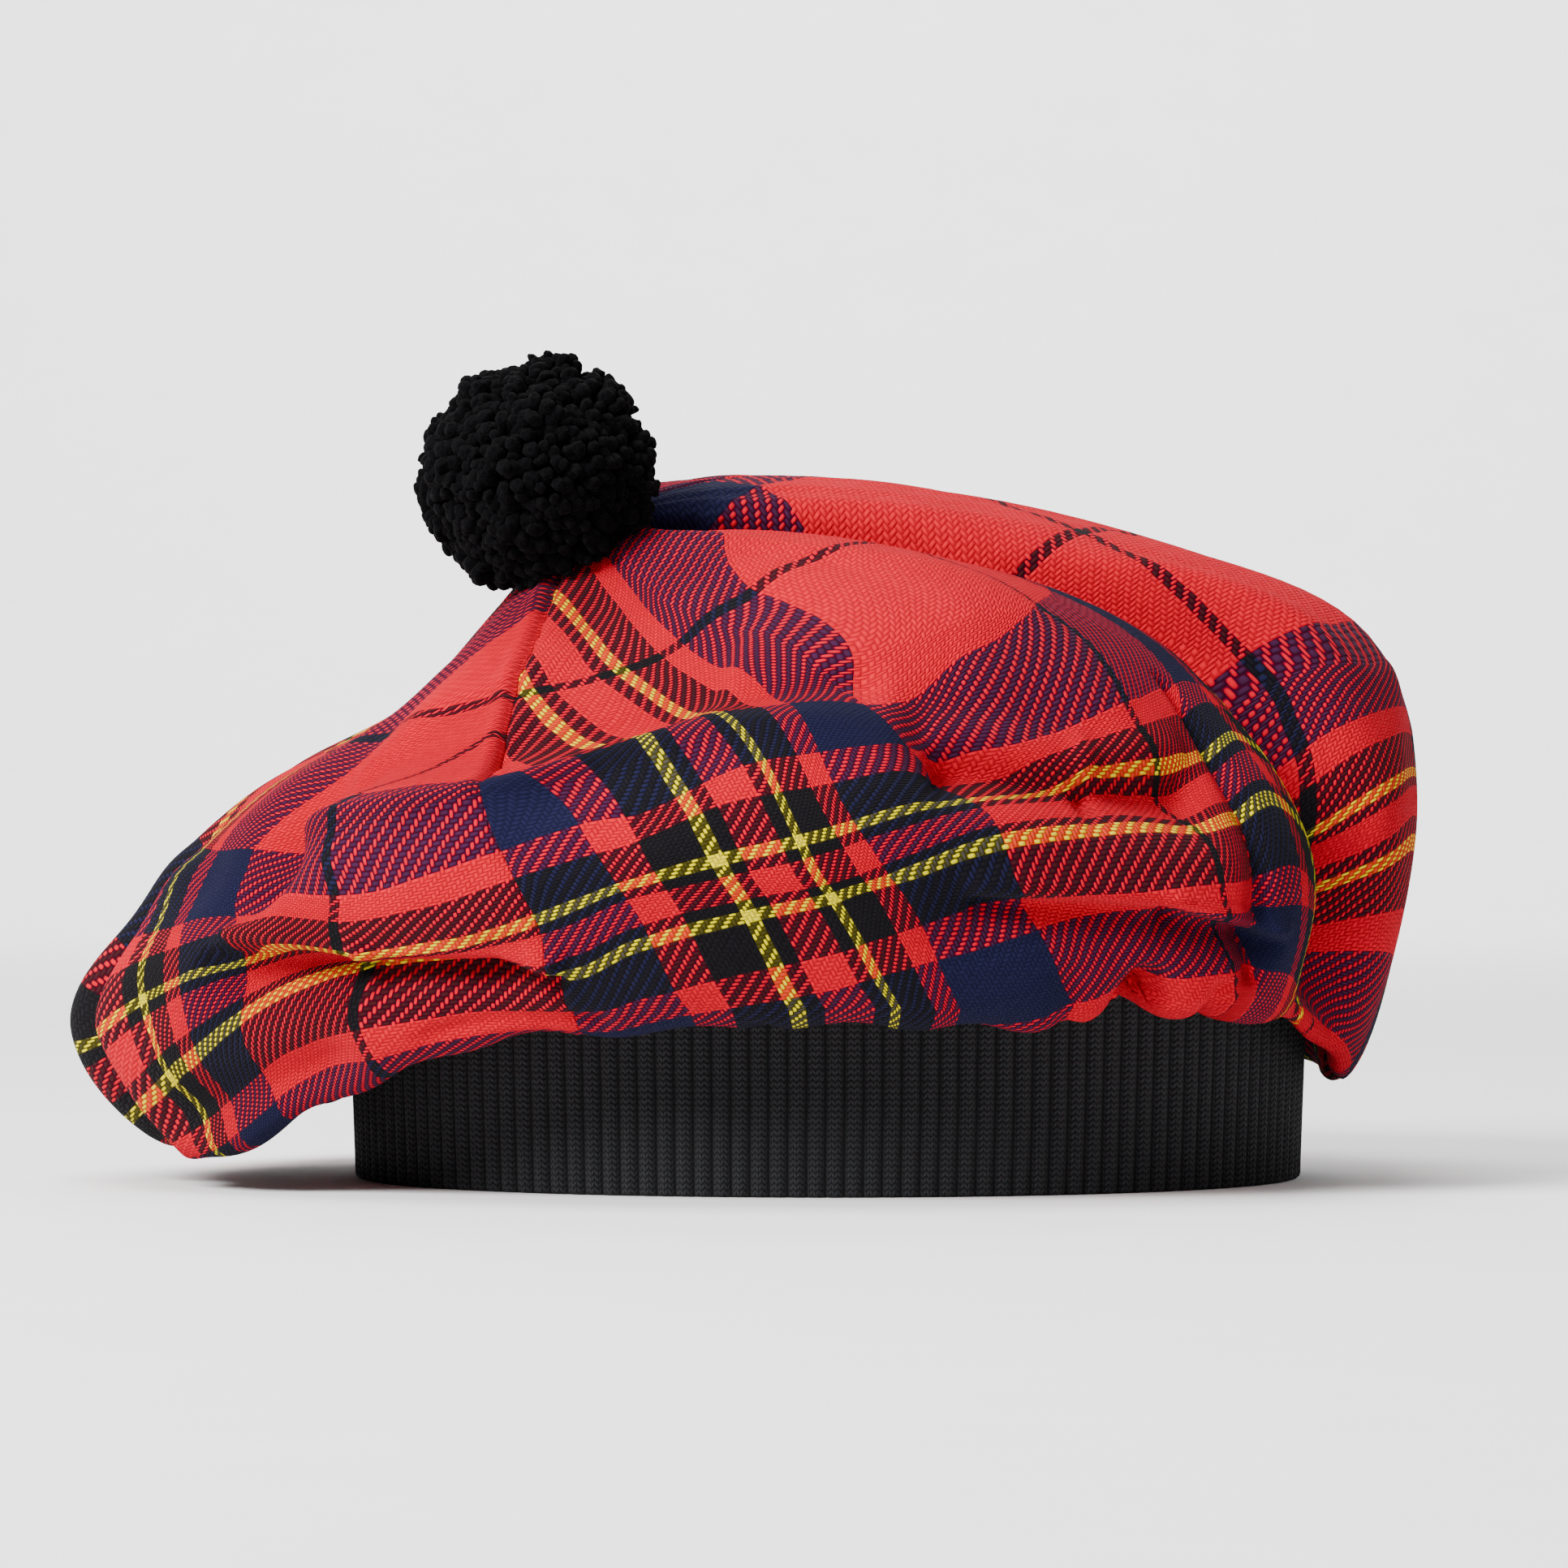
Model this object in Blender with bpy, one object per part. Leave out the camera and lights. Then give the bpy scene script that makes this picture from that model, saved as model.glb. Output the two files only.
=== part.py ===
"""A tam o' shanter: four cloth gores gathered to a rib-knit headband, with a yarn pompom on top.

The hat stands on its headband. The origin is the middle of the headband's lower rim, +Z is up,
-Y is the front of the hat and +X is its right-hand side as seen from the front.
Lengths are metres, and a direction is an angle in degrees about +Z, counted from +X.
"""

import math

import bmesh
import bpy
import numpy as np
from mathutils import Vector

MM = 0.001

# Headband
BAND_WIDTH = 196 * MM
BAND_DEPTH = 166 * MM
BAND_HEIGHT = 41 * MM
BAND_WALL = 3.0 * MM
BAND_FLARE = 1.5 * MM
RIB_PITCH = 3.85 * MM
RIB_DEPTH = 0.8 * MM

# Crown cloth
CROWN_REACH = 130 * MM
CROWN_HEIGHT = 146 * MM
CLOTH_WALL = 2.0 * MM
APEX_PLACE = (-51 * MM, -32 * MM, 132 * MM)
APEX_NORMAL = (-0.53, -0.22, 0.82)
APEX_HOLE = 3.0 * MM
SEAM_GAP = 0.4 * MM
HEM_CLEARANCE = 0.9 * MM
GATHER_COUNT = 26
GATHER_DEPTH = 1.6 * MM
GATHER_START = 2.6
GATHER_FULL = 3.3
UNEVEN_GATHERS = 5
UNEVEN_SHIFT = 1.3
GORE_COLUMNS = 22
GORE_ROWS = 19
ROW_CROWDING = 0.92

# Pompom
POMPOM_WIDTH = 53 * MM
POMPOM_HEIGHT = 38 * MM
LOCK_LENGTH = 3.5 * MM
LOCK_COUNT = 150
POMPOM_SEGMENTS = 44
POMPOM_RINGS = 26
POMPOM_GAP = 0.3 * MM
POMPOM_SEAT_REACH = 3.0 * MM
SEAT_COLUMNS = 72
SEAT_ROWS = 50
LOCK_SPREAD = 0.42

# Faces that meet at less than this angle are shaded as one curve.
SMOOTH_ANGLE = 50.0

# Where the gores are sewn together, as a direction at the crown's rim.
SEAM_DIRECTIONS = (-122.5, -31.0, 56.0, 152.0)
GORE_NAMES = ("crown_gore_front", "crown_gore_right", "crown_gore_back", "crown_gore_left")

# Levels along a meridian of the crown: its stations from the apex to the headband.
APEX_LEVEL = 0.0
TOP_LEVEL = 0.5
LIP_LEVEL = 1.0
BULGE_LEVEL = 2.0
LOW_LEVEL = 3.0
HEM_LEVEL = 3.75
BAND_LEVEL = 4.0
TOP_SHARE = 0.45

# The crown's form. Reaches are shares of CROWN_REACH, heights are shares of CROWN_HEIGHT.
SECTION_COLUMNS = (
    "direction",
    "top_height",
    "lip_reach", "lip_height",
    "bulge_reach", "bulge_height",
    "low_reach", "low_height",
)
SECTIONS = (
    (-170.0, 0.665, 1.00, 0.462, 1.21, 0.205, 1.06, 0.045),
    (-155.0, 0.690, 1.02, 0.460, 1.15, 0.260, 1.05, 0.045),
    (-140.0, 0.735, 1.00, 0.530, 1.06, 0.340, 0.96, 0.140),
    (-124.0, 0.755, 0.96, 0.568, 1.01, 0.377, 0.90, 0.215),
    (-110.0, 0.775, 0.81, 0.640, 0.98, 0.420, 0.85, 0.225),
    (-90.0, 0.830, 0.75, 0.720, 0.95, 0.435, 0.82, 0.235),
    (-65.0, 0.895, 0.70, 0.790, 0.94, 0.420, 0.85, 0.230),
    (-47.0, 0.905, 0.70, 0.750, 0.99, 0.400, 0.90, 0.240),
    (-33.0, 0.900, 0.72, 0.735, 0.95, 0.440, 0.85, 0.225),
    (-12.0, 0.940, 0.86, 0.720, 0.94, 0.530, 0.81, 0.160),
    (10.0, 0.972, 0.86, 0.745, 0.955, 0.535, 0.82, 0.140),
    (30.0, 0.988, 0.87, 0.750, 1.00, 0.540, 0.85, 0.170),
    (55.0, 1.000, 0.85, 0.750, 1.02, 0.540, 0.85, 0.210),
    (80.0, 1.000, 0.86, 0.770, 1.01, 0.520, 0.83, 0.225),
    (105.0, 0.975, 0.88, 0.730, 1.02, 0.480, 0.84, 0.215),
    (130.0, 0.850, 0.92, 0.630, 1.05, 0.400, 0.88, 0.160),
    (155.0, 0.715, 0.96, 0.510, 1.13, 0.270, 0.96, 0.080),
)

# The crown's main folds, each a groove from one place to another. Lengths are shares of
# CROWN_REACH: its half width, and its depth into the cloth.
FOLD_COLUMNS = ("from_direction", "from_level", "to_direction", "to_level", "half_width", "depth")
FOLDS = {
    "right_valley": (-22.0, 0.25, -31.0, 1.0, 0.085, 0.11),
    "right_valley_side": (-31.0, 1.0, -29.0, 2.75, 0.090, 0.16),
    "left_tuck": (-148.0, 2.05, -119.0, 2.45, 0.052, 0.055),
    "behind_lip": (-143.0, 0.83, -106.0, 0.84, 0.050, 0.028),
    "left_lip_dip": (-147.0, 0.70, -146.0, 1.55, 0.060, 0.075),
    "front_crease": (-82.0, 1.45, -52.0, 1.62, 0.050, 0.048),
    "front_roll": (-80.0, 2.15, -48.0, 2.30, 0.050, 0.026),
    "left_lobe_edge": (-171.0, 1.0, -165.0, 3.0, 0.050, 0.050),
    "left_low_roll": (-160.0, 2.62, -138.0, 2.72, 0.050, 0.030),
    "band_pinch": (-59.0, 2.6, -58.0, 3.7, 0.045, 0.060),
    "right_side": (2.0, 1.8, -4.0, 3.0, 0.060, 0.030),
    "right_back": (36.0, 1.2, 33.0, 3.3, 0.085, 0.070),
    "back_right": (72.0, 1.0, 76.0, 3.3, 0.085, 0.075),
    "back_left": (112.0, 0.9, 108.0, 3.3, 0.090, 0.080),
    "left_back": (138.0, 1.15, 136.0, 3.0, 0.080, 0.050),
}

# Cloth for a degree at the rim and for a level, which give a fold its width on the crown.
CLOTH_PER_DEGREE = 2.0 * MM
CLOTH_PER_LEVEL = 34 * MM

# Nearer the apex than this level, a degree is counted as it is here.
NARROWEST_LEVEL = 0.25

# The folds and gathers have run out at the hem over this many levels.
HEM_FADE = 0.4

# Steps, in degrees and levels, over which slopes and seams are measured.
DIRECTION_STEP = 0.5
LEVEL_STEP = 0.012

COLOURS = {
    "tartan": (0.62, 0.04, 0.05, 1.0),
    "knit": (0.012, 0.012, 0.013, 1.0),
    "yarn": (0.006, 0.006, 0.007, 1.0),
}


def ease(x):
    """A smooth step from 0 to 1 as x goes from 0 to 1."""
    x = np.clip(x, 0.0, 1.0)
    return x * x * (3.0 - 2.0 * x)


def hermite(p0, p1, m0, m1, t):
    """A cubic from p0 to p1 whose tangents over the whole step are m0 and m1."""
    t2 = t * t
    t3 = t2 * t
    return (
        (2 * t3 - 3 * t2 + 1) * p0
        + (t3 - 2 * t2 + t) * m0
        + (3 * t2 - 2 * t3) * p1
        + (t3 - t2) * m1
    )


def section_at(direction):
    """The section table's columns by name at any direction, read from a closed cubic."""
    table = np.array(SECTIONS)
    angles = table[:, 0]
    values = table[:, 1:]
    count = len(angles)
    turn = np.mod(direction - angles[0], 360.0) + angles[0]
    index = np.searchsorted(angles, turn, side="right") - 1
    before, after = angles[index], np.append(angles, angles[0] + 360.0)[index + 1]

    def knot(i):
        return angles[np.mod(i, count)] + 360.0 * np.floor_divide(i, count)

    def slope(i):
        rise = values[np.mod(i + 1, count)] - values[np.mod(i - 1, count)]
        return rise / (knot(i + 1) - knot(i - 1))[:, None]

    step = (after - before)[:, None]
    t = ((turn - before) / (after - before))[:, None]
    section = hermite(
        values[index],
        values[np.mod(index + 1, count)],
        slope(index) * step,
        slope(index + 1) * step,
        t,
    )
    return dict(zip(SECTION_COLUMNS[1:], section.T))


def band_point(direction, height, outward=0.0):
    """A point of the headband's middle line, moved outward from it."""
    angle = np.radians(direction)
    half_x = BAND_WIDTH / 2 - BAND_WALL / 2 + outward
    half_y = BAND_DEPTH / 2 - BAND_WALL / 2 + outward
    reach = half_x * half_y / np.hypot(half_y * np.cos(angle), half_x * np.sin(angle))
    return np.stack([reach * np.cos(angle), reach * np.sin(angle), np.full_like(reach, height)], axis=-1)


def ring_point(direction, reach, height):
    """A point at a direction, at a reach and a height given as shares of the crown's."""
    angle = np.radians(direction)
    radius = reach * CROWN_REACH
    return np.stack([radius * np.cos(angle), radius * np.sin(angle), height * CROWN_HEIGHT], axis=-1)


def plain_crown(direction, level):
    """The crown's outer face before its folds, at directions and levels of one shape."""
    section = section_at(direction)
    apex = np.broadcast_to(np.array(APEX_PLACE), direction.shape + (3,))
    lip = ring_point(direction, section["lip_reach"], section["lip_height"])
    top = apex + (lip - apex) * TOP_SHARE
    top[:, 2] = section["top_height"] * CROWN_HEIGHT
    bulge = ring_point(direction, section["bulge_reach"], section["bulge_height"])
    low = ring_point(direction, section["low_reach"], section["low_height"])
    hem = band_point(direction, BAND_HEIGHT, BAND_WALL / 2 + BAND_FLARE + HEM_CLEARANCE)
    sewn = band_point(direction, BAND_HEIGHT + SEAM_GAP)
    stations = [apex, top, lip, bulge, low, hem, sewn]
    levels = [APEX_LEVEL, TOP_LEVEL, LIP_LEVEL, BULGE_LEVEL, LOW_LEVEL, HEM_LEVEL, BAND_LEVEL]

    chords = [after - before for before, after in zip(stations[:-1], stations[1:])]
    spans = [np.linalg.norm(chord, axis=1)[:, None] for chord in chords]
    normal = np.array(APEX_NORMAL) / np.linalg.norm(APEX_NORMAL)
    leaving = chords[0] - (chords[0] @ normal)[:, None] * normal
    headings = [leaving / spans[0]]
    for i in range(1, len(chords)):
        share = spans[i] / (spans[i] + spans[i - 1])
        headings.append(chords[i - 1] / spans[i - 1] * share + chords[i] / spans[i] * (1 - share))
    headings.append(chords[-1] / spans[-1])

    point = np.zeros(direction.shape + (3,))
    for i, span in enumerate(spans):
        inside = (level >= levels[i]) & ((level < levels[i + 1]) | (i == len(spans) - 1))
        t = ((level - levels[i]) / (levels[i + 1] - levels[i]))[:, None]
        piece = hermite(stations[i], stations[i + 1], headings[i] * span, headings[i + 1] * span, t)
        point[inside] = piece[inside]
    return point


def normals_of(surface, direction, level):
    """Outward unit normals of a surface given as a function of direction and level."""
    low = np.maximum(level - LEVEL_STEP, APEX_LEVEL)
    high = np.minimum(level + LEVEL_STEP, BAND_LEVEL)
    across = surface(direction + DIRECTION_STEP, level) - surface(direction - DIRECTION_STEP, level)
    down = surface(direction, high) - surface(direction, low)
    normal = np.cross(down, across)
    return normal / np.linalg.norm(normal, axis=1)[:, None]


def fold_depth(direction, level):
    """How far the folds and the gathers take the cloth inward from the plain crown."""
    total = np.zeros_like(direction)
    for row in FOLDS.values():
        fold = dict(zip(FOLD_COLUMNS, row))
        away = np.mod(direction - fold["from_direction"] + 180.0, 360.0) - 180.0
        across = away * CLOTH_PER_DEGREE * np.clip(level, NARROWEST_LEVEL, LIP_LEVEL)
        down = (level - fold["from_level"]) * CLOTH_PER_LEVEL
        run_across = (fold["to_direction"] - fold["from_direction"]) * CLOTH_PER_DEGREE
        run_down = (fold["to_level"] - fold["from_level"]) * CLOTH_PER_LEVEL
        run = math.hypot(run_across, run_down)
        along = (across * run_across + down * run_down) / run
        aside = (across * run_down - down * run_across) / run
        width = fold["half_width"] * CROWN_REACH
        ends = ease(0.5 + along / (2 * width)) * ease(0.5 + (run - along) / (2 * width))
        total += fold["depth"] * CROWN_REACH * ends * np.exp(-((aside / width) ** 2))
    gathered = ease((level - GATHER_START) / (GATHER_FULL - GATHER_START))
    turn = np.radians(direction)
    ripple = np.cos(turn * GATHER_COUNT + UNEVEN_SHIFT * np.sin(turn * UNEVEN_GATHERS))
    before_hem = ease((HEM_LEVEL - level) / HEM_FADE)
    return (total + GATHER_DEPTH * gathered * (0.5 - 0.5 * ripple)) * before_hem


def crown(direction, level):
    """The crown's outer face with its folds."""
    normal = normals_of(plain_crown, direction, level)
    return plain_crown(direction, level) - normal * fold_depth(direction, level)[:, None]


def new_object(name, mesh, collection, material):
    """Put a mesh in the scene as one smooth object with one material."""
    mesh.materials.append(material)
    mesh.shade_smooth()
    mesh.set_sharp_from_angle(angle=math.radians(SMOOTH_ANGLE))
    item = bpy.data.objects.new(name, mesh)
    collection.objects.link(item)
    return item


def mesh_of(name, points, faces):
    """A mesh from points and faces, with its normals turned outward."""
    build = bmesh.new()
    vertices = [build.verts.new(point) for point in points]
    for face in faces:
        build.faces.new([vertices[i] for i in face])
    bmesh.ops.recalc_face_normals(build, faces=build.faces)
    mesh = bpy.data.meshes.new(name)
    build.to_mesh(mesh)
    build.free()
    return mesh


def gore_levels():
    """The rows of a gore from the apex hole to the headband, closer together near the band."""
    front = np.array([SEAM_DIRECTIONS[0] + SEAM_DIRECTIONS[1]]) / 2
    flat = np.linalg.norm(plain_crown(front, np.array([TOP_LEVEL])) - np.array(APEX_PLACE))
    start = TOP_LEVEL * APEX_HOLE / flat
    share = np.linspace(0.0, 1.0, GORE_ROWS + 1)
    return start + (BAND_LEVEL - start) * share ** ROW_CROWDING


def seam_trim(direction, level):
    """Degrees that a gore stops short of its seam, for half of the seam's gap."""
    beside = np.array([direction - DIRECTION_STEP, direction + DIRECTION_STEP])
    face = plain_crown(beside, np.full(2, level))
    return SEAM_GAP / 2 / np.linalg.norm(face[1] - face[0]) * 2 * DIRECTION_STEP


def gore_mesh(name, first, last):
    """A gore as a closed wall: outer and inner faces lofted along its levels, and its rims."""
    levels = gore_levels()
    columns = np.linspace(0.0, 1.0, GORE_COLUMNS + 1)
    outer, inner = [], []
    for level in levels:
        begin = first + seam_trim(first, level)
        end = last - seam_trim(last, level)
        directions = begin + columns * (end - begin)
        rows = np.full(directions.shape, level)
        face = crown(directions, rows)
        outer.append(face)
        inner.append(face - normals_of(crown, directions, rows) * CLOTH_WALL)
    layers = np.array([outer, inner])
    points = layers.reshape(-1, 3)
    wide, high = GORE_COLUMNS + 1, GORE_ROWS + 1

    def at(layer, row, column):
        return (layer * high + row) * wide + column

    faces = []
    for row in range(GORE_ROWS):
        for column in range(GORE_COLUMNS):
            here = [(row, column), (row, column + 1), (row + 1, column + 1), (row + 1, column)]
            faces.append([at(0, *place) for place in here])
            faces.append([at(1, *place) for place in reversed(here)])
    rim = [(0, c) for c in range(GORE_COLUMNS)]
    rim += [(r, GORE_COLUMNS) for r in range(GORE_ROWS)]
    rim += [(GORE_ROWS, c) for c in range(GORE_COLUMNS, 0, -1)]
    rim += [(r, 0) for r in range(GORE_ROWS, 0, -1)]
    for here, there in zip(rim, rim[1:] + rim[:1]):
        faces.append([at(0, *there), at(0, *here), at(1, *here), at(1, *there)])
    return mesh_of(name, points, faces)


def headband_mesh(name):
    """The ribbed ring: ribs stand out from its outer face, and its rims are flat."""
    around = math.pi * (BAND_WIDTH + BAND_DEPTH) / 2
    ribs = round(around / RIB_PITCH)
    steps = 2 * ribs
    directions = np.arange(steps) * 360.0 / steps
    groove = np.where(np.arange(steps) % 2 == 0, 0.0, RIB_DEPTH)
    half = BAND_WALL / 2
    rings = [
        band_point(directions, 0.0, half - groove),
        band_point(directions, BAND_HEIGHT, half + BAND_FLARE - groove),
        band_point(directions, BAND_HEIGHT, -half + BAND_FLARE),
        band_point(directions, 0.0, -half),
    ]
    points = np.concatenate(rings)
    faces = []
    for ring in range(4):
        following = (ring + 1) % 4
        for i in range(steps):
            j = (i + 1) % steps
            faces.append([ring * steps + i, ring * steps + j, following * steps + j, following * steps + i])
    return mesh_of(name, points, faces)


def lock_directions():
    """Directions of the pompom's locks, spread evenly over a ball."""
    index = np.arange(LOCK_COUNT) + 0.5
    polar = np.arccos(1 - 2 * index / LOCK_COUNT)
    around = math.pi * (1 + 5 ** 0.5) * index
    return np.stack([np.cos(around) * np.sin(polar), np.sin(around) * np.sin(polar), np.cos(polar)], axis=1)


def apex_cloth():
    """Points of the crown's outer face from its apex to its lip, for the pompom to lie on."""
    around = np.linspace(0.0, 360.0, SEAT_COLUMNS, endpoint=False)
    directions, levels = np.meshgrid(around, np.linspace(0.02, LIP_LEVEL, SEAT_ROWS))
    return crown(directions.ravel(), levels.ravel())


def pompom_mesh(name):
    """A ball whose face rises to a tip at each lock, flattened where it is seated on the crown."""
    build = bmesh.new()
    bmesh.ops.create_uvsphere(build, u_segments=POMPOM_SEGMENTS, v_segments=POMPOM_RINGS, radius=1.0)
    units = np.array([vertex.co.normalized() for vertex in build.verts])
    spread = math.sqrt(4 * math.pi / LOCK_COUNT) * LOCK_SPREAD
    angles = np.arccos(np.clip(units @ lock_directions().T, -1, 1)).min(axis=1)
    tips = np.exp(-((angles / spread) ** 2))
    radius = POMPOM_WIDTH / 2 - LOCK_LENGTH

    normal = Vector(APEX_NORMAL).normalized()
    turn = np.array(Vector((0, 0, 1)).rotation_difference(normal).to_matrix())
    ball = units * (radius + LOCK_LENGTH * tips)[:, None]
    ball[:, 2] += POMPOM_HEIGHT - POMPOM_WIDTH / 2

    cloth = (apex_cloth() - np.array(APEX_PLACE)) @ turn
    aside = np.linalg.norm(ball[:, None, :2] - cloth[None, :, :2], axis=2)
    under = np.where(aside < POMPOM_SEAT_REACH, cloth[None, :, 2], -CROWN_REACH).max(axis=1)
    ball[:, 2] = np.maximum(ball[:, 2], under + POMPOM_GAP)

    places = ball @ turn.T + np.array(APEX_PLACE)
    for vertex, place in zip(build.verts, places):
        vertex.co = place
    mesh = bpy.data.meshes.new(name)
    build.to_mesh(mesh)
    build.free()
    return mesh


def material_of(name, roughness):
    """A plain finish in the piece's colour."""
    material = bpy.data.materials.new(name)
    material.use_nodes = True
    shader = material.node_tree.nodes["Principled BSDF"]
    shader.inputs["Base Color"].default_value = COLOURS[name]
    shader.inputs["Roughness"].default_value = roughness
    shader.inputs["Metallic"].default_value = 0.0
    return material


def main():
    """Build the hat's six pieces."""
    for item in list(bpy.data.objects):
        bpy.data.objects.remove(item, do_unlink=True)
    collection = bpy.data.collections.new("tam_o_shanter")
    bpy.context.scene.collection.children.link(collection)
    tartan = material_of("tartan", 0.9)
    knit = material_of("knit", 0.85)
    yarn = material_of("yarn", 0.95)

    ends = SEAM_DIRECTIONS + (SEAM_DIRECTIONS[0] + 360.0,)
    for name, first, last in zip(GORE_NAMES, ends[:-1], ends[1:]):
        new_object(name, gore_mesh(name, first, last), collection, tartan)
    new_object("headband", headband_mesh("headband"), collection, knit)
    new_object("pompom", pompom_mesh("pompom"), collection, yarn)


main()
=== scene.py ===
"""The looks of a tartan tam o' shanter: four woven gores, a rib-knit headband and a yarn pompom.

Every length is in metres in the frame of the CAD model: the origin is the middle of the headband's
lower rim, +Z is up and -Y is the front of the hat. A direction is an angle in degrees about +Z,
counted from +X. A level is a place down a meridian of the crown: 0 is the apex, 1 the lip, 2 the
bulge, 3 the lowest point and 4 the seam at the headband.
"""
import logging
import math
from collections.abc import Callable
from dataclasses import dataclass, field
from enum import Enum

import bmesh
import bpy
import numpy as np
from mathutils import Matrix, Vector


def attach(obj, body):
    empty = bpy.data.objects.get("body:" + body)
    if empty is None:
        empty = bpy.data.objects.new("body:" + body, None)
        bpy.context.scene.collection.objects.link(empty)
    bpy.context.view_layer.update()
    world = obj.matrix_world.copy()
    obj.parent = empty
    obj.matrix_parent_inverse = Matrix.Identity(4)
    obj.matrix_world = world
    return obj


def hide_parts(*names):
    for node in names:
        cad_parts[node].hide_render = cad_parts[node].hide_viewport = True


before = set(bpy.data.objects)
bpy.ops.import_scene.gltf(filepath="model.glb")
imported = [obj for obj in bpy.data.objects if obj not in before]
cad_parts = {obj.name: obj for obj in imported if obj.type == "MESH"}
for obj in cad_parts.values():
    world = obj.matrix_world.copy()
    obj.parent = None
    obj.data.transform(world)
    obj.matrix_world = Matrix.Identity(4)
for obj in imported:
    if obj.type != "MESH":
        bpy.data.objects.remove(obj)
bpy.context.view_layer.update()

MM = 0.001
REPORT = logging.getLogger("tam_o_shanter")

Array = np.ndarray
Surface = Callable[[Array, Array], Array]


class Dye(Enum):
    """The colours that the tartan's yarn is dyed, as sRGB hex values."""

    RED = "C60221"
    NAVY = "1A1A36"
    BLACK = "161417"
    YELLOW = "DACA00"


class Hold(Enum):
    GATHERED = "gathered"


def linear(colour: str) -> tuple[float, float, float, float]:
    """Turn an sRGB hex value to a linear colour.

    Args:
        colour: six hex digits.

    Returns:
        Red, green and blue from 0 to 1, and an alpha of 1.
    """
    shares = [int(colour[i:i + 2], 16) / 255 for i in (0, 2, 4)]
    bent = [s / 12.92 if s <= 0.04045 else ((s + 0.055) / 1.055) ** 2.4 for s in shares]
    return (*bent, 1.0)


def put(tree: bpy.types.NodeTree, kind: str, *inputs, named: dict | None = None, **settings):
    """Add a node to a tree, with its settings and links.

    Args:
        tree: the node tree of a material or world.
        kind: the node's type.
        inputs: a value, a socket or a node for each input in turn, or None to leave it.
        named: values, sockets or nodes by the input's name or number.
        settings: the node's own properties.

    Returns:
        The new node.
    """
    node = tree.nodes.new(kind)
    for name, value in settings.items():
        setattr(node, name, value)
    for key, value in list(enumerate(inputs)) + list((named or {}).items()):
        if value is None:
            continue
        source = value.outputs[0] if isinstance(value, bpy.types.Node) else value
        if isinstance(source, bpy.types.NodeSocket):
            tree.links.new(source, node.inputs[key])
        else:
            node.inputs[key].default_value = source
    return node


def new_material(name: str) -> tuple[bpy.types.Material, bpy.types.NodeTree]:
    """Make a material with an empty node tree.

    Args:
        name: the material's name.

    Returns:
        The material and its tree.
    """
    material = bpy.data.materials.new(name)
    material.use_nodes = True
    material.node_tree.nodes.clear()
    return material, material.node_tree


def ease(x: Array) -> Array:
    """Step smoothly from 0 to 1.

    Args:
        x: values, of which those from 0 to 1 are on the step.

    Returns:
        The step's heights.
    """
    x = np.clip(x, 0.0, 1.0)
    return x * x * (3.0 - 2.0 * x)


def hermite(p0: Array, p1: Array, m0: Array, m1: Array, t: Array) -> Array:
    """Follow a cubic between two points.

    Args:
        p0: where it starts.
        p1: where it ends.
        m0: its tangent at the start, over the whole step.
        m1: its tangent at the end, over the whole step.
        t: how far along, from 0 to 1.

    Returns:
        The points at t.
    """
    t2 = t * t
    t3 = t2 * t
    return (
        (2 * t3 - 3 * t2 + 1) * p0
        + (t3 - 2 * t2 + t) * m0
        + (3 * t2 - 2 * t3) * p1
        + (t3 - t2) * m1
    )


def follow(stations: tuple, values: tuple, places: Array) -> Array:
    """Read a smooth curve through stations, which runs level beyond its ends.

    Args:
        stations: where the curve is known, rising.
        values: its heights there.
        places: where to read it.

    Returns:
        The heights.
    """
    known, heights = np.array(stations, dtype=float), np.array(values, dtype=float)
    slopes = np.gradient(heights, known)
    at = np.clip(places, known[0], known[-1])
    i = np.clip(np.searchsorted(known, at, side="right") - 1, 0, len(known) - 2)
    step = known[i + 1] - known[i]
    return hermite(heights[i], heights[i + 1], slopes[i] * step, slopes[i + 1] * step, (at - known[i]) / step)


def closed_table(rows: tuple, directions: Array) -> Array:
    """Read a table that runs round the crown, from a closed cubic through its rows.

    Args:
        rows: the table, with the direction first in each row, rising.
        directions: where to read it.

    Returns:
        One row of values for each direction, without the direction.
    """
    table = np.array(rows)
    angles, values = table[:, 0], table[:, 1:]
    count = len(angles)
    turn = np.mod(directions - angles[0], 360.0) + angles[0]
    index = np.searchsorted(angles, turn, side="right") - 1
    before, after = angles[index], np.append(angles, angles[0] + 360.0)[index + 1]

    def slope(i: Array) -> Array:
        """Give the table's slope at its rows."""
        rise = values[np.mod(i + 1, count)] - values[np.mod(i - 1, count)]
        ahead = angles[np.mod(i + 1, count)] + 360.0 * np.floor_divide(i + 1, count)
        behind = angles[np.mod(i - 1, count)] + 360.0 * np.floor_divide(i - 1, count)
        return rise / (ahead - behind)[:, None]

    step = (after - before)[:, None]
    t = ((turn - before) / (after - before))[:, None]
    return hermite(
        values[index], values[np.mod(index + 1, count)], slope(index) * step, slope(index + 1) * step, t
    )


def grid_faces(rows: int, columns: int, start: int = 0, closed: bool = False) -> Array:
    """List the quads of a grid of points, which are counted row by row.

    Args:
        rows: how many rows of points there are.
        columns: how many points there are in a row.
        start: the number of the first point.
        closed: whether the last column joins the first.

    Returns:
        Four point numbers for each quad.
    """
    row, column = np.meshgrid(np.arange(rows - 1), np.arange(columns if closed else columns - 1), indexing="ij")
    here = start + row * columns + column
    beside = start + row * columns + (column + 1) % columns
    return np.stack([here, beside, beside + columns, here + columns], axis=-1).reshape(-1, 4)


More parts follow.
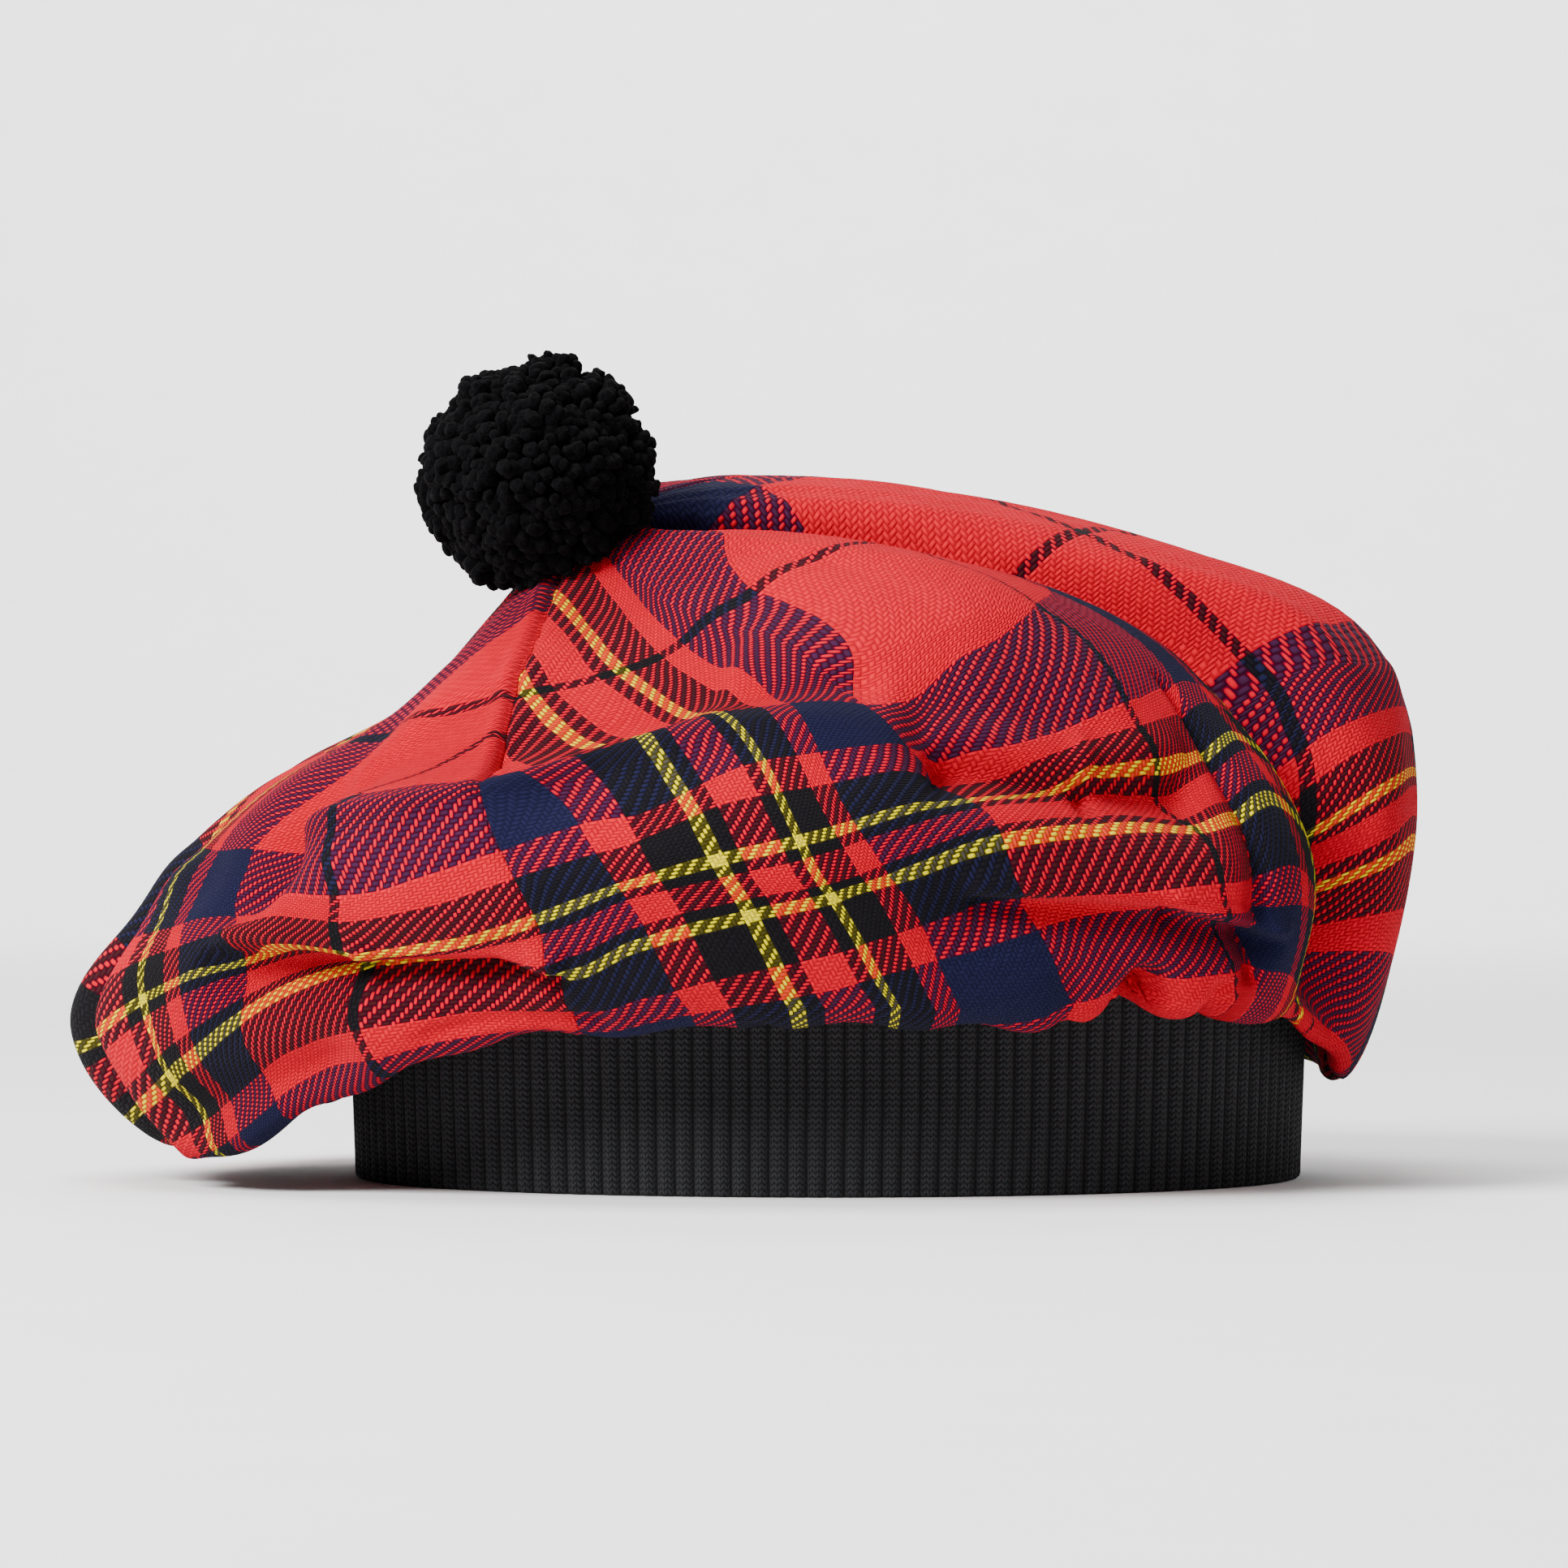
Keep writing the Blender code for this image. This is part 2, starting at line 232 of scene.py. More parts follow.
def new_piece(name: str, points: Array, faces: Array, threads: Array | None = None) -> bpy.types.Object:
    """Make a smooth mesh object, with its faces turned outward.

    Args:
        name: the piece's name.
        points: its points.
        faces: point numbers for each face.
        threads: two texture coordinates for each point, kept as the UV map "threads".

    Returns:
        The object, linked to the scene.
    """
    mesh = bpy.data.meshes.new(name)
    mesh.from_pydata(points.tolist(), [], faces.tolist())
    build = bmesh.new()
    build.from_mesh(mesh)
    bmesh.ops.recalc_face_normals(build, faces=build.faces)
    build.to_mesh(mesh)
    build.free()
    mesh.shade_smooth()
    if threads is not None:
        corners = np.zeros(len(mesh.loops), dtype=np.int32)
        mesh.loops.foreach_get("vertex_index", corners)
        layer = mesh.uv_layers.new(name="threads")
        layer.data.foreach_set("uv", threads[corners].astype(np.float32).ravel())
    piece = bpy.data.objects.new(name, mesh)
    bpy.context.scene.collection.objects.link(piece)
    return piece


def dress(piece: bpy.types.Object, material: bpy.types.Material, node: str) -> None:
    """Give a piece its material and say which CAD node it stands for.

    Args:
        piece: the piece.
        material: its finish.
        node: the CAD node that it replaces.
    """
    piece.data.materials.append(material)
    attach(piece, "root")
    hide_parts(node)
    REPORT.info("%s: %d faces in place of %s", piece.name, len(piece.data.polygons), node)


@dataclass
class CrownForm:
    """The crown's curved cloth, from its apex to the headband, as the CAD model has it.

    Reaches are shares of reach, heights are shares of height, and folds are shares of reach.
    """

    band_width: float = 196 * MM
    band_depth: float = 166 * MM
    band_height: float = 41 * MM
    band_wall: float = 3.0 * MM
    band_flare: float = 1.5 * MM
    reach: float = 130 * MM
    height: float = 146 * MM
    apex: tuple = (-51 * MM, -32 * MM, 132 * MM)
    apex_normal: tuple = (-0.53, -0.22, 0.82)
    apex_hole: float = 3.0 * MM
    seam_gap: float = 0.4 * MM
    hem_clearance: float = 0.9 * MM
    top_share: float = 0.45
    levels: tuple = (0.0, 0.5, 1.0, 2.0, 3.0, 3.75, 4.0)
    section_columns: tuple = (
        "top_height", "lip_reach", "lip_height", "bulge_reach", "bulge_height", "low_reach", "low_height",
    )
    sections: tuple = (
        (-170.0, 0.665, 1.00, 0.462, 1.21, 0.205, 1.06, 0.045),
        (-155.0, 0.690, 1.02, 0.460, 1.15, 0.260, 1.05, 0.045),
        (-140.0, 0.735, 1.00, 0.530, 1.06, 0.340, 0.96, 0.140),
        (-124.0, 0.755, 0.96, 0.568, 1.01, 0.377, 0.90, 0.215),
        (-110.0, 0.775, 0.81, 0.640, 0.98, 0.420, 0.85, 0.225),
        (-90.0, 0.830, 0.75, 0.720, 0.95, 0.435, 0.82, 0.235),
        (-65.0, 0.895, 0.70, 0.790, 0.94, 0.420, 0.85, 0.230),
        (-47.0, 0.905, 0.70, 0.750, 0.99, 0.400, 0.90, 0.240),
        (-33.0, 0.900, 0.72, 0.735, 0.95, 0.440, 0.85, 0.225),
        (-12.0, 0.940, 0.88, 0.732, 0.94, 0.530, 0.81, 0.160),
        (10.0, 0.972, 0.885, 0.755, 0.955, 0.535, 0.82, 0.140),
        (30.0, 0.988, 0.885, 0.750, 1.00, 0.540, 0.85, 0.170),
        (55.0, 1.000, 0.85, 0.750, 1.02, 0.540, 0.85, 0.210),
        (80.0, 1.000, 0.86, 0.770, 1.01, 0.520, 0.83, 0.225),
        (105.0, 0.975, 0.88, 0.730, 1.02, 0.480, 0.84, 0.215),
        (130.0, 0.850, 0.92, 0.630, 1.05, 0.400, 0.88, 0.160),
        (155.0, 0.715, 0.96, 0.510, 1.13, 0.270, 0.96, 0.080),
    )
    # Each fold runs from one direction and level to another: its half width, and its depth inward.
    main_folds: tuple = (
        (-22.0, 0.25, -31.0, 1.0, 0.085, 0.11),
        (-31.0, 1.0, -29.0, 2.75, 0.090, 0.16),
        (-148.0, 2.05, -119.0, 2.45, 0.052, 0.055),
        (-143.0, 0.83, -106.0, 0.84, 0.050, 0.028),
        (-147.0, 0.70, -146.0, 1.55, 0.060, 0.075),
        (-82.0, 1.45, -52.0, 1.62, 0.050, 0.048),
        (-80.0, 2.15, -48.0, 2.30, 0.050, 0.026),
        (-171.0, 1.0, -165.0, 3.0, 0.050, 0.050),
        (-160.0, 2.62, -138.0, 2.72, 0.050, 0.030),
        (-59.0, 2.6, -58.0, 3.7, 0.045, 0.060),
        (2.0, 1.8, -4.0, 3.0, 0.060, 0.030),
        (36.0, 1.2, 33.0, 3.3, 0.085, 0.070),
        (72.0, 1.0, 76.0, 3.3, 0.085, 0.075),
        (112.0, 0.9, 108.0, 3.3, 0.090, 0.080),
        (138.0, 1.15, 136.0, 3.0, 0.080, 0.050),
    )
    # Creases and rolls that are too fine for the CAD solid, in the same columns. A roll stands out.
    fine_folds: tuple = (
        (-142.0, 0.86, -124.0, 0.90, 0.026, 0.020),
        (-124.0, 0.90, -104.0, 0.96, 0.026, 0.020),
        (-104.0, 0.96, -86.0, 1.16, 0.026, 0.018),
        (-144.0, 1.06, -123.0, 1.10, 0.030, -0.020),
        (-123.0, 1.10, -104.0, 1.20, 0.030, -0.018),
        (-104.0, 1.18, -84.0, 1.38, 0.028, -0.018),
        (-50.5, 1.20, -48.0, 2.60, 0.013, 0.024),
        (-40.0, 1.30, -36.5, 2.70, 0.012, 0.022),
        (-59.0, 2.50, -58.0, 3.50, 0.020, 0.045),
        (-67.0, 2.50, -64.0, 3.50, 0.022, 0.012),
        (-51.0, 2.60, -50.0, 3.40, 0.018, 0.020),
        (-130.0, 2.75, -112.0, 2.80, 0.020, 0.010),
        (-98.0, 2.90, -92.0, 3.50, 0.020, 0.010),
        (-15.0, 0.78, 70.0, 0.78, 0.050, 0.034),
        (-205.0, 0.80, -152.0, 0.80, 0.050, -0.020),
        (-200.0, 1.15, -158.0, 1.15, 0.050, -0.022),
    )
    # Tucks, in the same columns: the cloth above hangs over a crease, and the cloth below runs in under it.
    tucks: tuple = (
        (-149.0, 1.78, -134.5, 2.26, 0.014, 0.030),
        (-135.5, 2.24, -115.0, 2.50, 0.014, 0.036),
        (-81.0, 1.49, -64.0, 1.64, 0.014, 0.034),
        (-65.0, 1.64, -53.0, 1.55, 0.014, 0.032),
        (-77.0, 2.13, -57.0, 2.12, 0.013, 0.026),
        (-58.0, 2.11, -46.0, 2.32, 0.014, 0.032),
    )
    tuck_above: float = 0.6
    tuck_below: float = 3.0
    brow_place: float = 1.8
    brow_width: float = 1.4
    brow_share: float = 0.6
    cloth_per_degree: float = 2.0 * MM
    cloth_per_level: float = 34 * MM
    narrowest_level: float = 0.25
    gather_count: int = 26
    gather_depth: float = 1.6 * MM
    gather_levels: tuple = (2.6, 3.3)
    uneven_gathers: int = 5
    uneven_shift: float = 1.3
    hem_fade: float = 0.4
    direction_step: float = 0.5
    level_step: float = 0.012
    waver: float = 0.35 * MM

    def band_point(self, direction: Array, height: float, outward: float = 0.0) -> Array:
        """Find points beside the headband's middle line.

        Args:
            direction: where round the band.
            height: how high.
            outward: how far out from the middle line.

        Returns:
            The points.
        """
        angle = np.radians(direction)
        half_x = self.band_width / 2 - self.band_wall / 2 + outward
        half_y = self.band_depth / 2 - self.band_wall / 2 + outward
        reach = half_x * half_y / np.hypot(half_y * np.cos(angle), half_x * np.sin(angle))
        level = np.broadcast_to(height, reach.shape)
        return np.stack([reach * np.cos(angle), reach * np.sin(angle), level], axis=-1)

    def ring_point(self, direction: Array, reach: Array, height: Array) -> Array:
        """Find points at a reach and a height given as shares of the crown's.

        Args:
            direction: where round the crown.
            reach: share of the crown's reach.
            height: share of the crown's height.

        Returns:
            The points.
        """
        angle = np.radians(direction)
        radius = reach * self.reach
        return np.stack([radius * np.cos(angle), radius * np.sin(angle), height * self.height], axis=-1)

    def plain(self, direction: Array, level: Array) -> Array:
        """Find points of the crown's outer face before its folds.

        Args:
            direction: where round the crown.
            level: how far down the meridian.

        Returns:
            The points.
        """
        section = dict(zip(self.section_columns, closed_table(self.sections, direction).T))
        apex = np.broadcast_to(np.array(self.apex), direction.shape + (3,))
        lip = self.ring_point(direction, section["lip_reach"], section["lip_height"])
        top = apex + (lip - apex) * self.top_share
        top[:, 2] = section["top_height"] * self.height
        bulge = self.ring_point(direction, section["bulge_reach"], section["bulge_height"])
        low = self.ring_point(direction, section["low_reach"], section["low_height"])
        hem_out = self.band_wall / 2 + self.band_flare + self.hem_clearance
        hem = self.band_point(direction, self.band_height, hem_out)
        sewn = self.band_point(direction, self.band_height + self.seam_gap)
        stations = [apex, top, lip, bulge, low, hem, sewn]

        chords = [after - before for before, after in zip(stations[:-1], stations[1:])]
        spans = [np.linalg.norm(chord, axis=1)[:, None] for chord in chords]
        normal = np.array(self.apex_normal) / np.linalg.norm(self.apex_normal)
        headings = [(chords[0] - (chords[0] @ normal)[:, None] * normal) / spans[0]]
        for i in range(1, len(chords)):
            share = spans[i] / (spans[i] + spans[i - 1])
            headings.append(chords[i - 1] / spans[i - 1] * share + chords[i] / spans[i] * (1 - share))
        headings.append(chords[-1] / spans[-1])

        point = np.zeros(direction.shape + (3,))
        for i, span in enumerate(spans):
            low_level, high_level = self.levels[i], self.levels[i + 1]
            inside = (level >= low_level) & ((level < high_level) | (i == len(spans) - 1))
            t = ((level - low_level) / (high_level - low_level))[:, None]
            run = hermite(stations[i], stations[i + 1], headings[i] * span, headings[i + 1] * span, t)
            point[inside] = run[inside]
        return point

    def normals(self, surface: Surface, direction: Array, level: Array) -> Array:
        """Find the outward unit normals of a surface over directions and levels.

        Args:
            surface: gives a point for each direction and level.
            direction: where round the crown.
            level: how far down the meridian.

        Returns:
            The normals.
        """
        above = np.maximum(level - self.level_step, self.levels[0])
        below = np.minimum(level + self.level_step, self.levels[-1])
        across = surface(direction + self.direction_step, level) - surface(direction - self.direction_step, level)
        down = surface(direction, below) - surface(direction, above)
        normal = np.cross(down, across)
        return normal / np.linalg.norm(normal, axis=1)[:, None]

    def beside(self, fold: tuple, direction: Array, level: Array) -> tuple[Array, Array]:
        """Find how places lie to a fold.

        Args:
            fold: a row of the folds.
            direction: where round the crown.
            level: how far down the meridian.

        Returns:
            How many of its half widths the places lie above it, and how much of it reaches them.
        """
        start, start_level, end, end_level, half_width, _ = fold
        away = np.mod(direction - start + 180.0, 360.0) - 180.0
        across = away * self.cloth_per_degree * np.clip(level, self.narrowest_level, 1.0)
        down = (level - start_level) * self.cloth_per_level
        run_across = (end - start) * self.cloth_per_degree
        run_down = (end_level - start_level) * self.cloth_per_level
        run = math.hypot(run_across, run_down)
        along = (across * run_across + down * run_down) / run
        width = half_width * self.reach
        aside = (across * run_down - down * run_across) / (run * width)
        ends = ease(0.5 + along / (2 * width)) * ease(0.5 + (run - along) / (2 * width))
        return aside, ends

    def fold_depth(self, direction: Array, level: Array) -> Array:
        """Find how far the folds and gathers take the cloth inward.

        Args:
            direction: where round the crown.
            level: how far down the meridian.

        Returns:
            The depths.
        """
        total = np.zeros_like(direction)
        for fold in self.main_folds + self.fine_folds:
            aside, ends = self.beside(fold, direction, level)
            total += fold[-1] * self.reach * ends * np.exp(-(aside ** 2))
        for tuck in self.tucks:
            above, ends = self.beside(tuck, direction, level)
            bank = np.exp(-((above / np.where(above > 0.0, self.tuck_above, self.tuck_below)) ** 2))
            brow = np.exp(-(((above - self.brow_place) / self.brow_width) ** 2))
            total += tuck[-1] * self.reach * ends * (bank - self.brow_share * brow)
        start, full = self.gather_levels
        turn = np.radians(direction)
        ripple = np.cos(turn * self.gather_count + self.uneven_shift * np.sin(turn * self.uneven_gathers))
        total += self.gather_depth * ease((level - start) / (full - start)) * (0.5 - 0.5 * ripple)
        total += self.waver * np.sin(turn * 23 + 3.1 * level) * np.sin(level * 5.3 + 2 * np.sin(turn * 3))
        return total * ease((self.levels[-2] - level) / self.hem_fade)

    def face(self, direction: Array, level: Array) -> Array:
        """Find points of the crown's outer face with its folds.

        Args:
            direction: where round the crown.
            level: how far down the meridian.

        Returns:
            The points.
        """
        normal = self.normals(self.plain, direction, level)
        return self.plain(direction, level) - normal * self.fold_depth(direction, level)[:, None]


@dataclass
class ClothChart:
    """How far down the crown the cloth's picks lie, counted from the apex.

    Where picks crowd together, the cloth between them is tucked out of sight in a fold.
    """

    crown: CrownForm
    picks: tuple = (54.0, 95.0, 106.0, 117.0, 137.0, 153.0, 194.0)
    # Direction, and the level of each of these picks there.
    rows: tuple = (
        (-170.0, 0.68, 1.00, 1.25, 1.50, 2.15, 2.65, 3.60),
        (-152.0, 0.68, 1.00, 1.22, 1.50, 1.95, 2.38, 3.50),
        (-143.0, 0.70, 0.98, 1.20, 1.60, 1.97, 2.22, 3.40),
        (-135.0, 0.73, 0.98, 1.24, 1.74, 2.18, 2.24, 3.40),
        (-126.0, 0.70, 1.00, 1.18, 1.68, 2.22, 2.35, 3.45),
        (-120.0, 0.69, 1.08, 1.22, 1.62, 2.20, 2.42, 3.50),
        (-113.0, 0.69, 1.15, 1.28, 1.60, 2.12, 2.45, 3.45),
        (-108.0, 0.69, 1.12, 1.27, 1.62, 2.02, 2.34, 3.40),
        (-100.0, 0.66, 1.14, 1.25, 1.46, 1.93, 2.23, 3.30),
        (-90.5, 0.62, 1.25, 1.34, 1.46, 1.83, 2.12, 3.20),
        (-85.0, 0.61, 1.32, 1.39, 1.47, 1.76, 2.00, 3.12),
        (-77.0, 0.61, 1.18, 1.33, 1.49, 1.68, 1.86, 3.02),
        (-71.0, 0.61, 1.12, 1.31, 1.49, 1.65, 1.81, 2.85),
        (-62.0, 0.61, 0.98, 1.20, 1.41, 1.58, 1.76, 2.62),
        (-51.5, 0.60, 0.88, 1.08, 1.26, 1.50, 1.70, 2.50),
        (-43.5, 0.58, 0.82, 1.00, 1.18, 1.43, 1.65, 2.50),
        (-31.0, 0.60, 0.95, 1.18, 1.40, 1.85, 2.25, 2.85),
        (-22.0, 0.62, 0.95, 1.16, 1.38, 1.80, 2.13, 2.72),
        (-10.0, 0.64, 0.94, 1.14, 1.35, 1.80, 2.10, 2.75),
        (30.0, 0.62, 1.00, 1.20, 1.42, 1.90, 2.25, 3.20),
        (100.0, 0.62, 1.00, 1.20, 1.42, 1.90, 2.25, 3.40),
        (155.0, 0.62, 1.00, 1.20, 1.42, 1.90, 2.25, 3.40),
        (176.0, 0.66, 1.00, 1.25, 1.50, 2.10, 2.60, 3.60),
    )
    pitch: float = 1.05 * MM
    table_directions: int = 360
    table_levels: int = 121
    lengths: Array = field(init=False)

    def __post_init__(self) -> None:
        """Measure the cloth down each meridian of the plain crown."""
        directions = np.arange(self.table_directions) * 360.0 / self.table_directions - 180.0
        levels = np.linspace(0.0, self.crown.levels[-1], self.table_levels)
        grid_d, grid_l = np.meshgrid(directions, levels, indexing="ij")
        points = self.crown.plain(grid_d.ravel(), grid_l.ravel()).reshape(grid_d.shape + (3,))
        steps = np.linalg.norm(np.diff(points, axis=1), axis=2)
        self.lengths = np.concatenate([np.zeros((len(directions), 1)), np.cumsum(steps, axis=1)], axis=1)

    def length(self, direction: Array, level: Array) -> Array:
        """Find the length of cloth from the apex.

        Args:
            direction: where round the crown.
            level: how far down the meridian.

        Returns:
            The lengths in metres.
        """
        column = np.mod(direction + 180.0, 360.0) / 360.0 * self.table_directions
        row = np.clip(level / self.crown.levels[-1], 0.0, 1.0) * (self.table_levels - 1)
        c0 = np.floor(column).astype(int)
        r0 = np.minimum(np.floor(row).astype(int), self.table_levels - 2)
        c1, r1 = (c0 + 1) % self.table_directions, r0 + 1
        c0 = c0 % self.table_directions
        fc, fr = column - np.floor(column), row - r0
        near = self.lengths[c0, r0] * (1 - fr) + self.lengths[c0, r1] * fr
        far = self.lengths[c1, r0] * (1 - fr) + self.lengths[c1, r1] * fr
        return near * (1 - fc) + far * fc

    def lip_level(self, direction: Array) -> Array:
        """Find the level at which the lip's pick crosses each meridian."""
        return closed_table(self.rows, direction)[:, 1]

    def down(self, direction: Array, level: Array) -> Array:
        """Count the picks from the apex.

        Args:
            direction: where round the crown.
            level: how far down the meridian.

        Returns:
            The picks.
        """
        columns = closed_table(self.rows, direction).T
        count = np.zeros_like(level)
        before, picks_before = np.zeros_like(level), 0.0
        for column, picks in zip(columns, self.picks):
            share = np.clip((level - before) / (column - before), 0.0, 1.0)
            count += (picks - picks_before) * share
            before, picks_before = column, picks
        past = self.length(direction, level) - self.length(direction, columns[-1])
        return count + np.maximum(past, 0.0) / self.pitch


@dataclass
class Gore:
    """One quarter of the crown: a wall of cloth between two seams."""

    name: str
    node: str
    # Where each seam runs: its direction at each of the line levels.
    first: tuple
    last: tuple
    # A warp end that runs along the gore, and its direction at each of the line levels.
    lines: tuple
    # The warp end in the middle of the narrow black stripe.
    black_end: float
    flat: tuple
    crown: CrownForm
    chart: ClothChart
    black_pick: float = 54.0
    yarn_density: float = 1.3
    line_levels: tuple = (0.5, 0.7, 1.0, 1.4, 1.7, 2.0, 2.75)
    lip_pick: float = 95.0
    wall: float = 1.5 * MM
    rows: int = 175
    columns: int = 160
    edge_crowding: float = 0.6
    row_crowding: float = 0.92
    ridge: float = 0.0
    groove_depth: float = 1.1 * MM
    groove_width: float = 1.0 * MM
    ridge_place: float = 2.6 * MM
    ridge_width: float = 1.9 * MM
    pucker_pitch: float = 0.075

    def edge(self, seam: tuple, level: Array) -> Array:
        """Follow a seam down the crown."""
        return follow(self.line_levels, seam, level)

    def threads(self, direction: Array, level: Array) -> Array:
        """Count the threads at the points of the gore's grid.

        Args:
            direction: where round the crown, row by row.
            level: how far down the meridian, the same all along a row.

        Returns:
            For each point the warp end, counted from the gore's middle, and the pick from the apex.
        """
        down = self.chart.down(direction, level)
        across = np.zeros_like(down)
        ends = np.array([line[0] for line in self.lines], dtype=float)
        heights = level[::self.columns]
        places = np.stack([follow(self.line_levels, line[1:], heights) for line in self.lines], axis=1)
        for row in range(len(heights)):
            part = slice(row * self.columns, (row + 1) * self.columns)
            across[part] = np.interp(direction[part], places[row], ends)
        across *= np.minimum(down / self.lip_pick, 1.0)
        return np.stack([across, down], axis=1)

    def seam_relief(self, direction: Array, level: Array) -> Array:
        """Find how far the seams pull the cloth in and how far its turned edges push it out.

        Args:
            direction: where round the crown.
            level: how far down the meridian.

        Returns:
            The depths inward.
        """
        beside = self.crown.plain(direction + 0.5, level) - self.crown.plain(direction - 0.5, level)
        degree = np.linalg.norm(beside, axis=1)
        on_top = 1.0 - 0.8 * ease((level - 0.95) / 0.3)
        pucker = 1.0 + 0.35 * np.cos(2 * math.pi * level / self.pucker_pitch)
        total = np.zeros_like(direction)
        for seam, rolled in ((self.first, 0.0), (self.last, self.ridge)):
            away = np.abs(direction - self.edge(seam, level)) * degree
            total += self.groove_depth * on_top * pucker * np.exp(-((away / self.groove_width) ** 2))
            bank = np.exp(-(((away - self.ridge_place) / self.ridge_width) ** 2))
            total -= rolled * on_top * bank * (0.75 + 0.25 * pucker)
        return total * ease((self.crown.levels[-2] - level) / self.crown.hem_fade)

    def surface(self, direction: Array, level: Array) -> Array:
        """Find points of the gore's outer face."""
        normal = self.crown.normals(self.crown.plain, direction, level)
        depth = self.crown.fold_depth(direction, level) + self.seam_relief(direction, level)
        return self.crown.plain(direction, level) - normal * depth[:, None]

    def build(self) -> bpy.types.Object:
        """Make the gore as a closed wall: an outer face, an inner face and their rims.

        Returns:
            The gore.
        """
        share = np.linspace(0.0, 1.0, self.columns)
        share = share - self.edge_crowding * np.sin(2 * math.pi * share) / (2 * math.pi)
        start = self.crown.apex_hole / np.linalg.norm(
            self.crown.plain(np.array([-76.0]), np.array([0.5])) - np.array(self.crown.apex)
        ) * 0.5
        rows = start + (self.crown.levels[-1] - start) * np.linspace(0.0, 1.0, self.rows) ** self.row_crowding
        begin, end = self.edge(self.first, rows), self.edge(self.last, rows)
        direction = (begin[:, None] + (end - begin)[:, None] * share[None, :]).ravel()
        level = np.repeat(rows, self.columns)
        outer = self.surface(direction, level)
        inner = outer - self.crown.normals(self.surface, direction, level) * self.wall
        steps = self.threads(direction, level) - np.array([self.black_end, self.black_pick])
        threads = steps * self.yarn_density

        layer = self.rows * self.columns
        faces = grid_faces(self.rows, self.columns)
        back = grid_faces(self.rows, self.columns, start=layer)[:, ::-1]
        number = np.arange(layer).reshape(self.rows, self.columns)
        rim = np.concatenate([number[0, :-1], number[:-1, -1], number[-1, :0:-1], number[:0:-1, 0]])
        following = np.roll(rim, -1)
        walls = np.stack([following, rim, rim + layer, following + layer], axis=1)
        return new_piece(
            self.name,
            np.concatenate([outer, inner]),
            np.concatenate([faces, back, walls]),
            np.concatenate([threads, threads]),
        )

    def make(self, finish: "TartanTwill") -> bpy.types.Object:
        """Build the gore and dress it.

        Args:
            finish: the cloth.

        Returns:
            The finished gore.
        """
        piece = self.build()
        dress(piece, finish.material(), self.node)
        return piece


@dataclass
class LobeGore(Gore):
    """The quarter whose top is drawn tight, so that its threads run straight across it."""

    # Which way the ends and the picks are counted over the top, and how far apart they lie there.
    over_ends: tuple = (0.714, 0.454, 0.533)
    over_picks: tuple = (0.681, -0.272, -0.681)
    end_pitch: float = 1.1 * MM
    pick_pitch: float = 1.26 * MM
    # Where on the top the narrow black end and the lip's pick run, and their numbers.
    end_place: tuple = (73 * MM, -33 * MM, 117 * MM, 66.0)
    pick_place: tuple = (95 * MM, -34 * MM, 109 * MM, 95.0)
    top_end: float = 0.5
    # Direction, the end and the pick that reach the lip there, and how far the threads have turned.
    lip_lines: tuple = (
        (-31.0, 56.0, 95.0, 0.0),
        (-25.5, 63.0, 95.0, 8.0),
        (-23.0, 69.0, 95.0, 9.0),
        (-19.5, 76.0, 95.0, 9.0),
        (-13.5, 85.0, 95.0, 11.0),
        (-7.5, 93.0, 95.0, 16.0),
        (0.0, 102.0, 94.0, 26.0),
        (10.0, 112.0, 89.0, 40.0),
        (30.0, 126.0, 70.0, 65.0),
        (56.0, 136.0, 36.0, 90.0),
    )

    def flat_threads(self, places: Array) -> Array:
        """Count the threads straight across the top, as on cloth that lies in a tilted plane.

        Args:
            places: points of the top.

        Returns:
            For each point the warp end and the pick.
        """
        end = (places - np.array(self.end_place[:3])) @ np.array(self.over_ends)
        pick = (places - np.array(self.pick_place[:3])) @ np.array(self.over_picks)
        end = end / self.end_pitch + self.end_place[3]
        pick = pick / self.pick_pitch + self.pick_place[3]
        return np.stack([end, pick], axis=1)

    def threads(self, direction: Array, level: Array) -> Array:
        """Count the threads at the points of the gore's grid.

        Args:
            direction: where round the crown.
            level: how far down the meridian.

        Returns:
            For each point the warp end and the pick.
        """
        table = np.array(self.lip_lines)
        at_lip = np.stack([np.interp(direction, table[:, 0], table[:, i]) for i in (1, 2)], axis=1)
        turned = np.radians(np.interp(direction, table[:, 0], table[:, 3]))
        lip_level = self.chart.lip_level(direction)
        on_top = self.flat_threads(self.crown.plain(direction, np.minimum(level, lip_level)))
        short = at_lip - self.flat_threads(self.crown.plain(direction, lip_level))
        share = ease((level - self.top_end) / (lip_level - self.top_end))
        below = np.maximum(self.chart.down(direction, level) - self.lip_pick, 0.0)
        run = np.stack([below * np.sin(turned), below * np.cos(turned)], axis=1)
        return on_top + short * share[:, None] + run


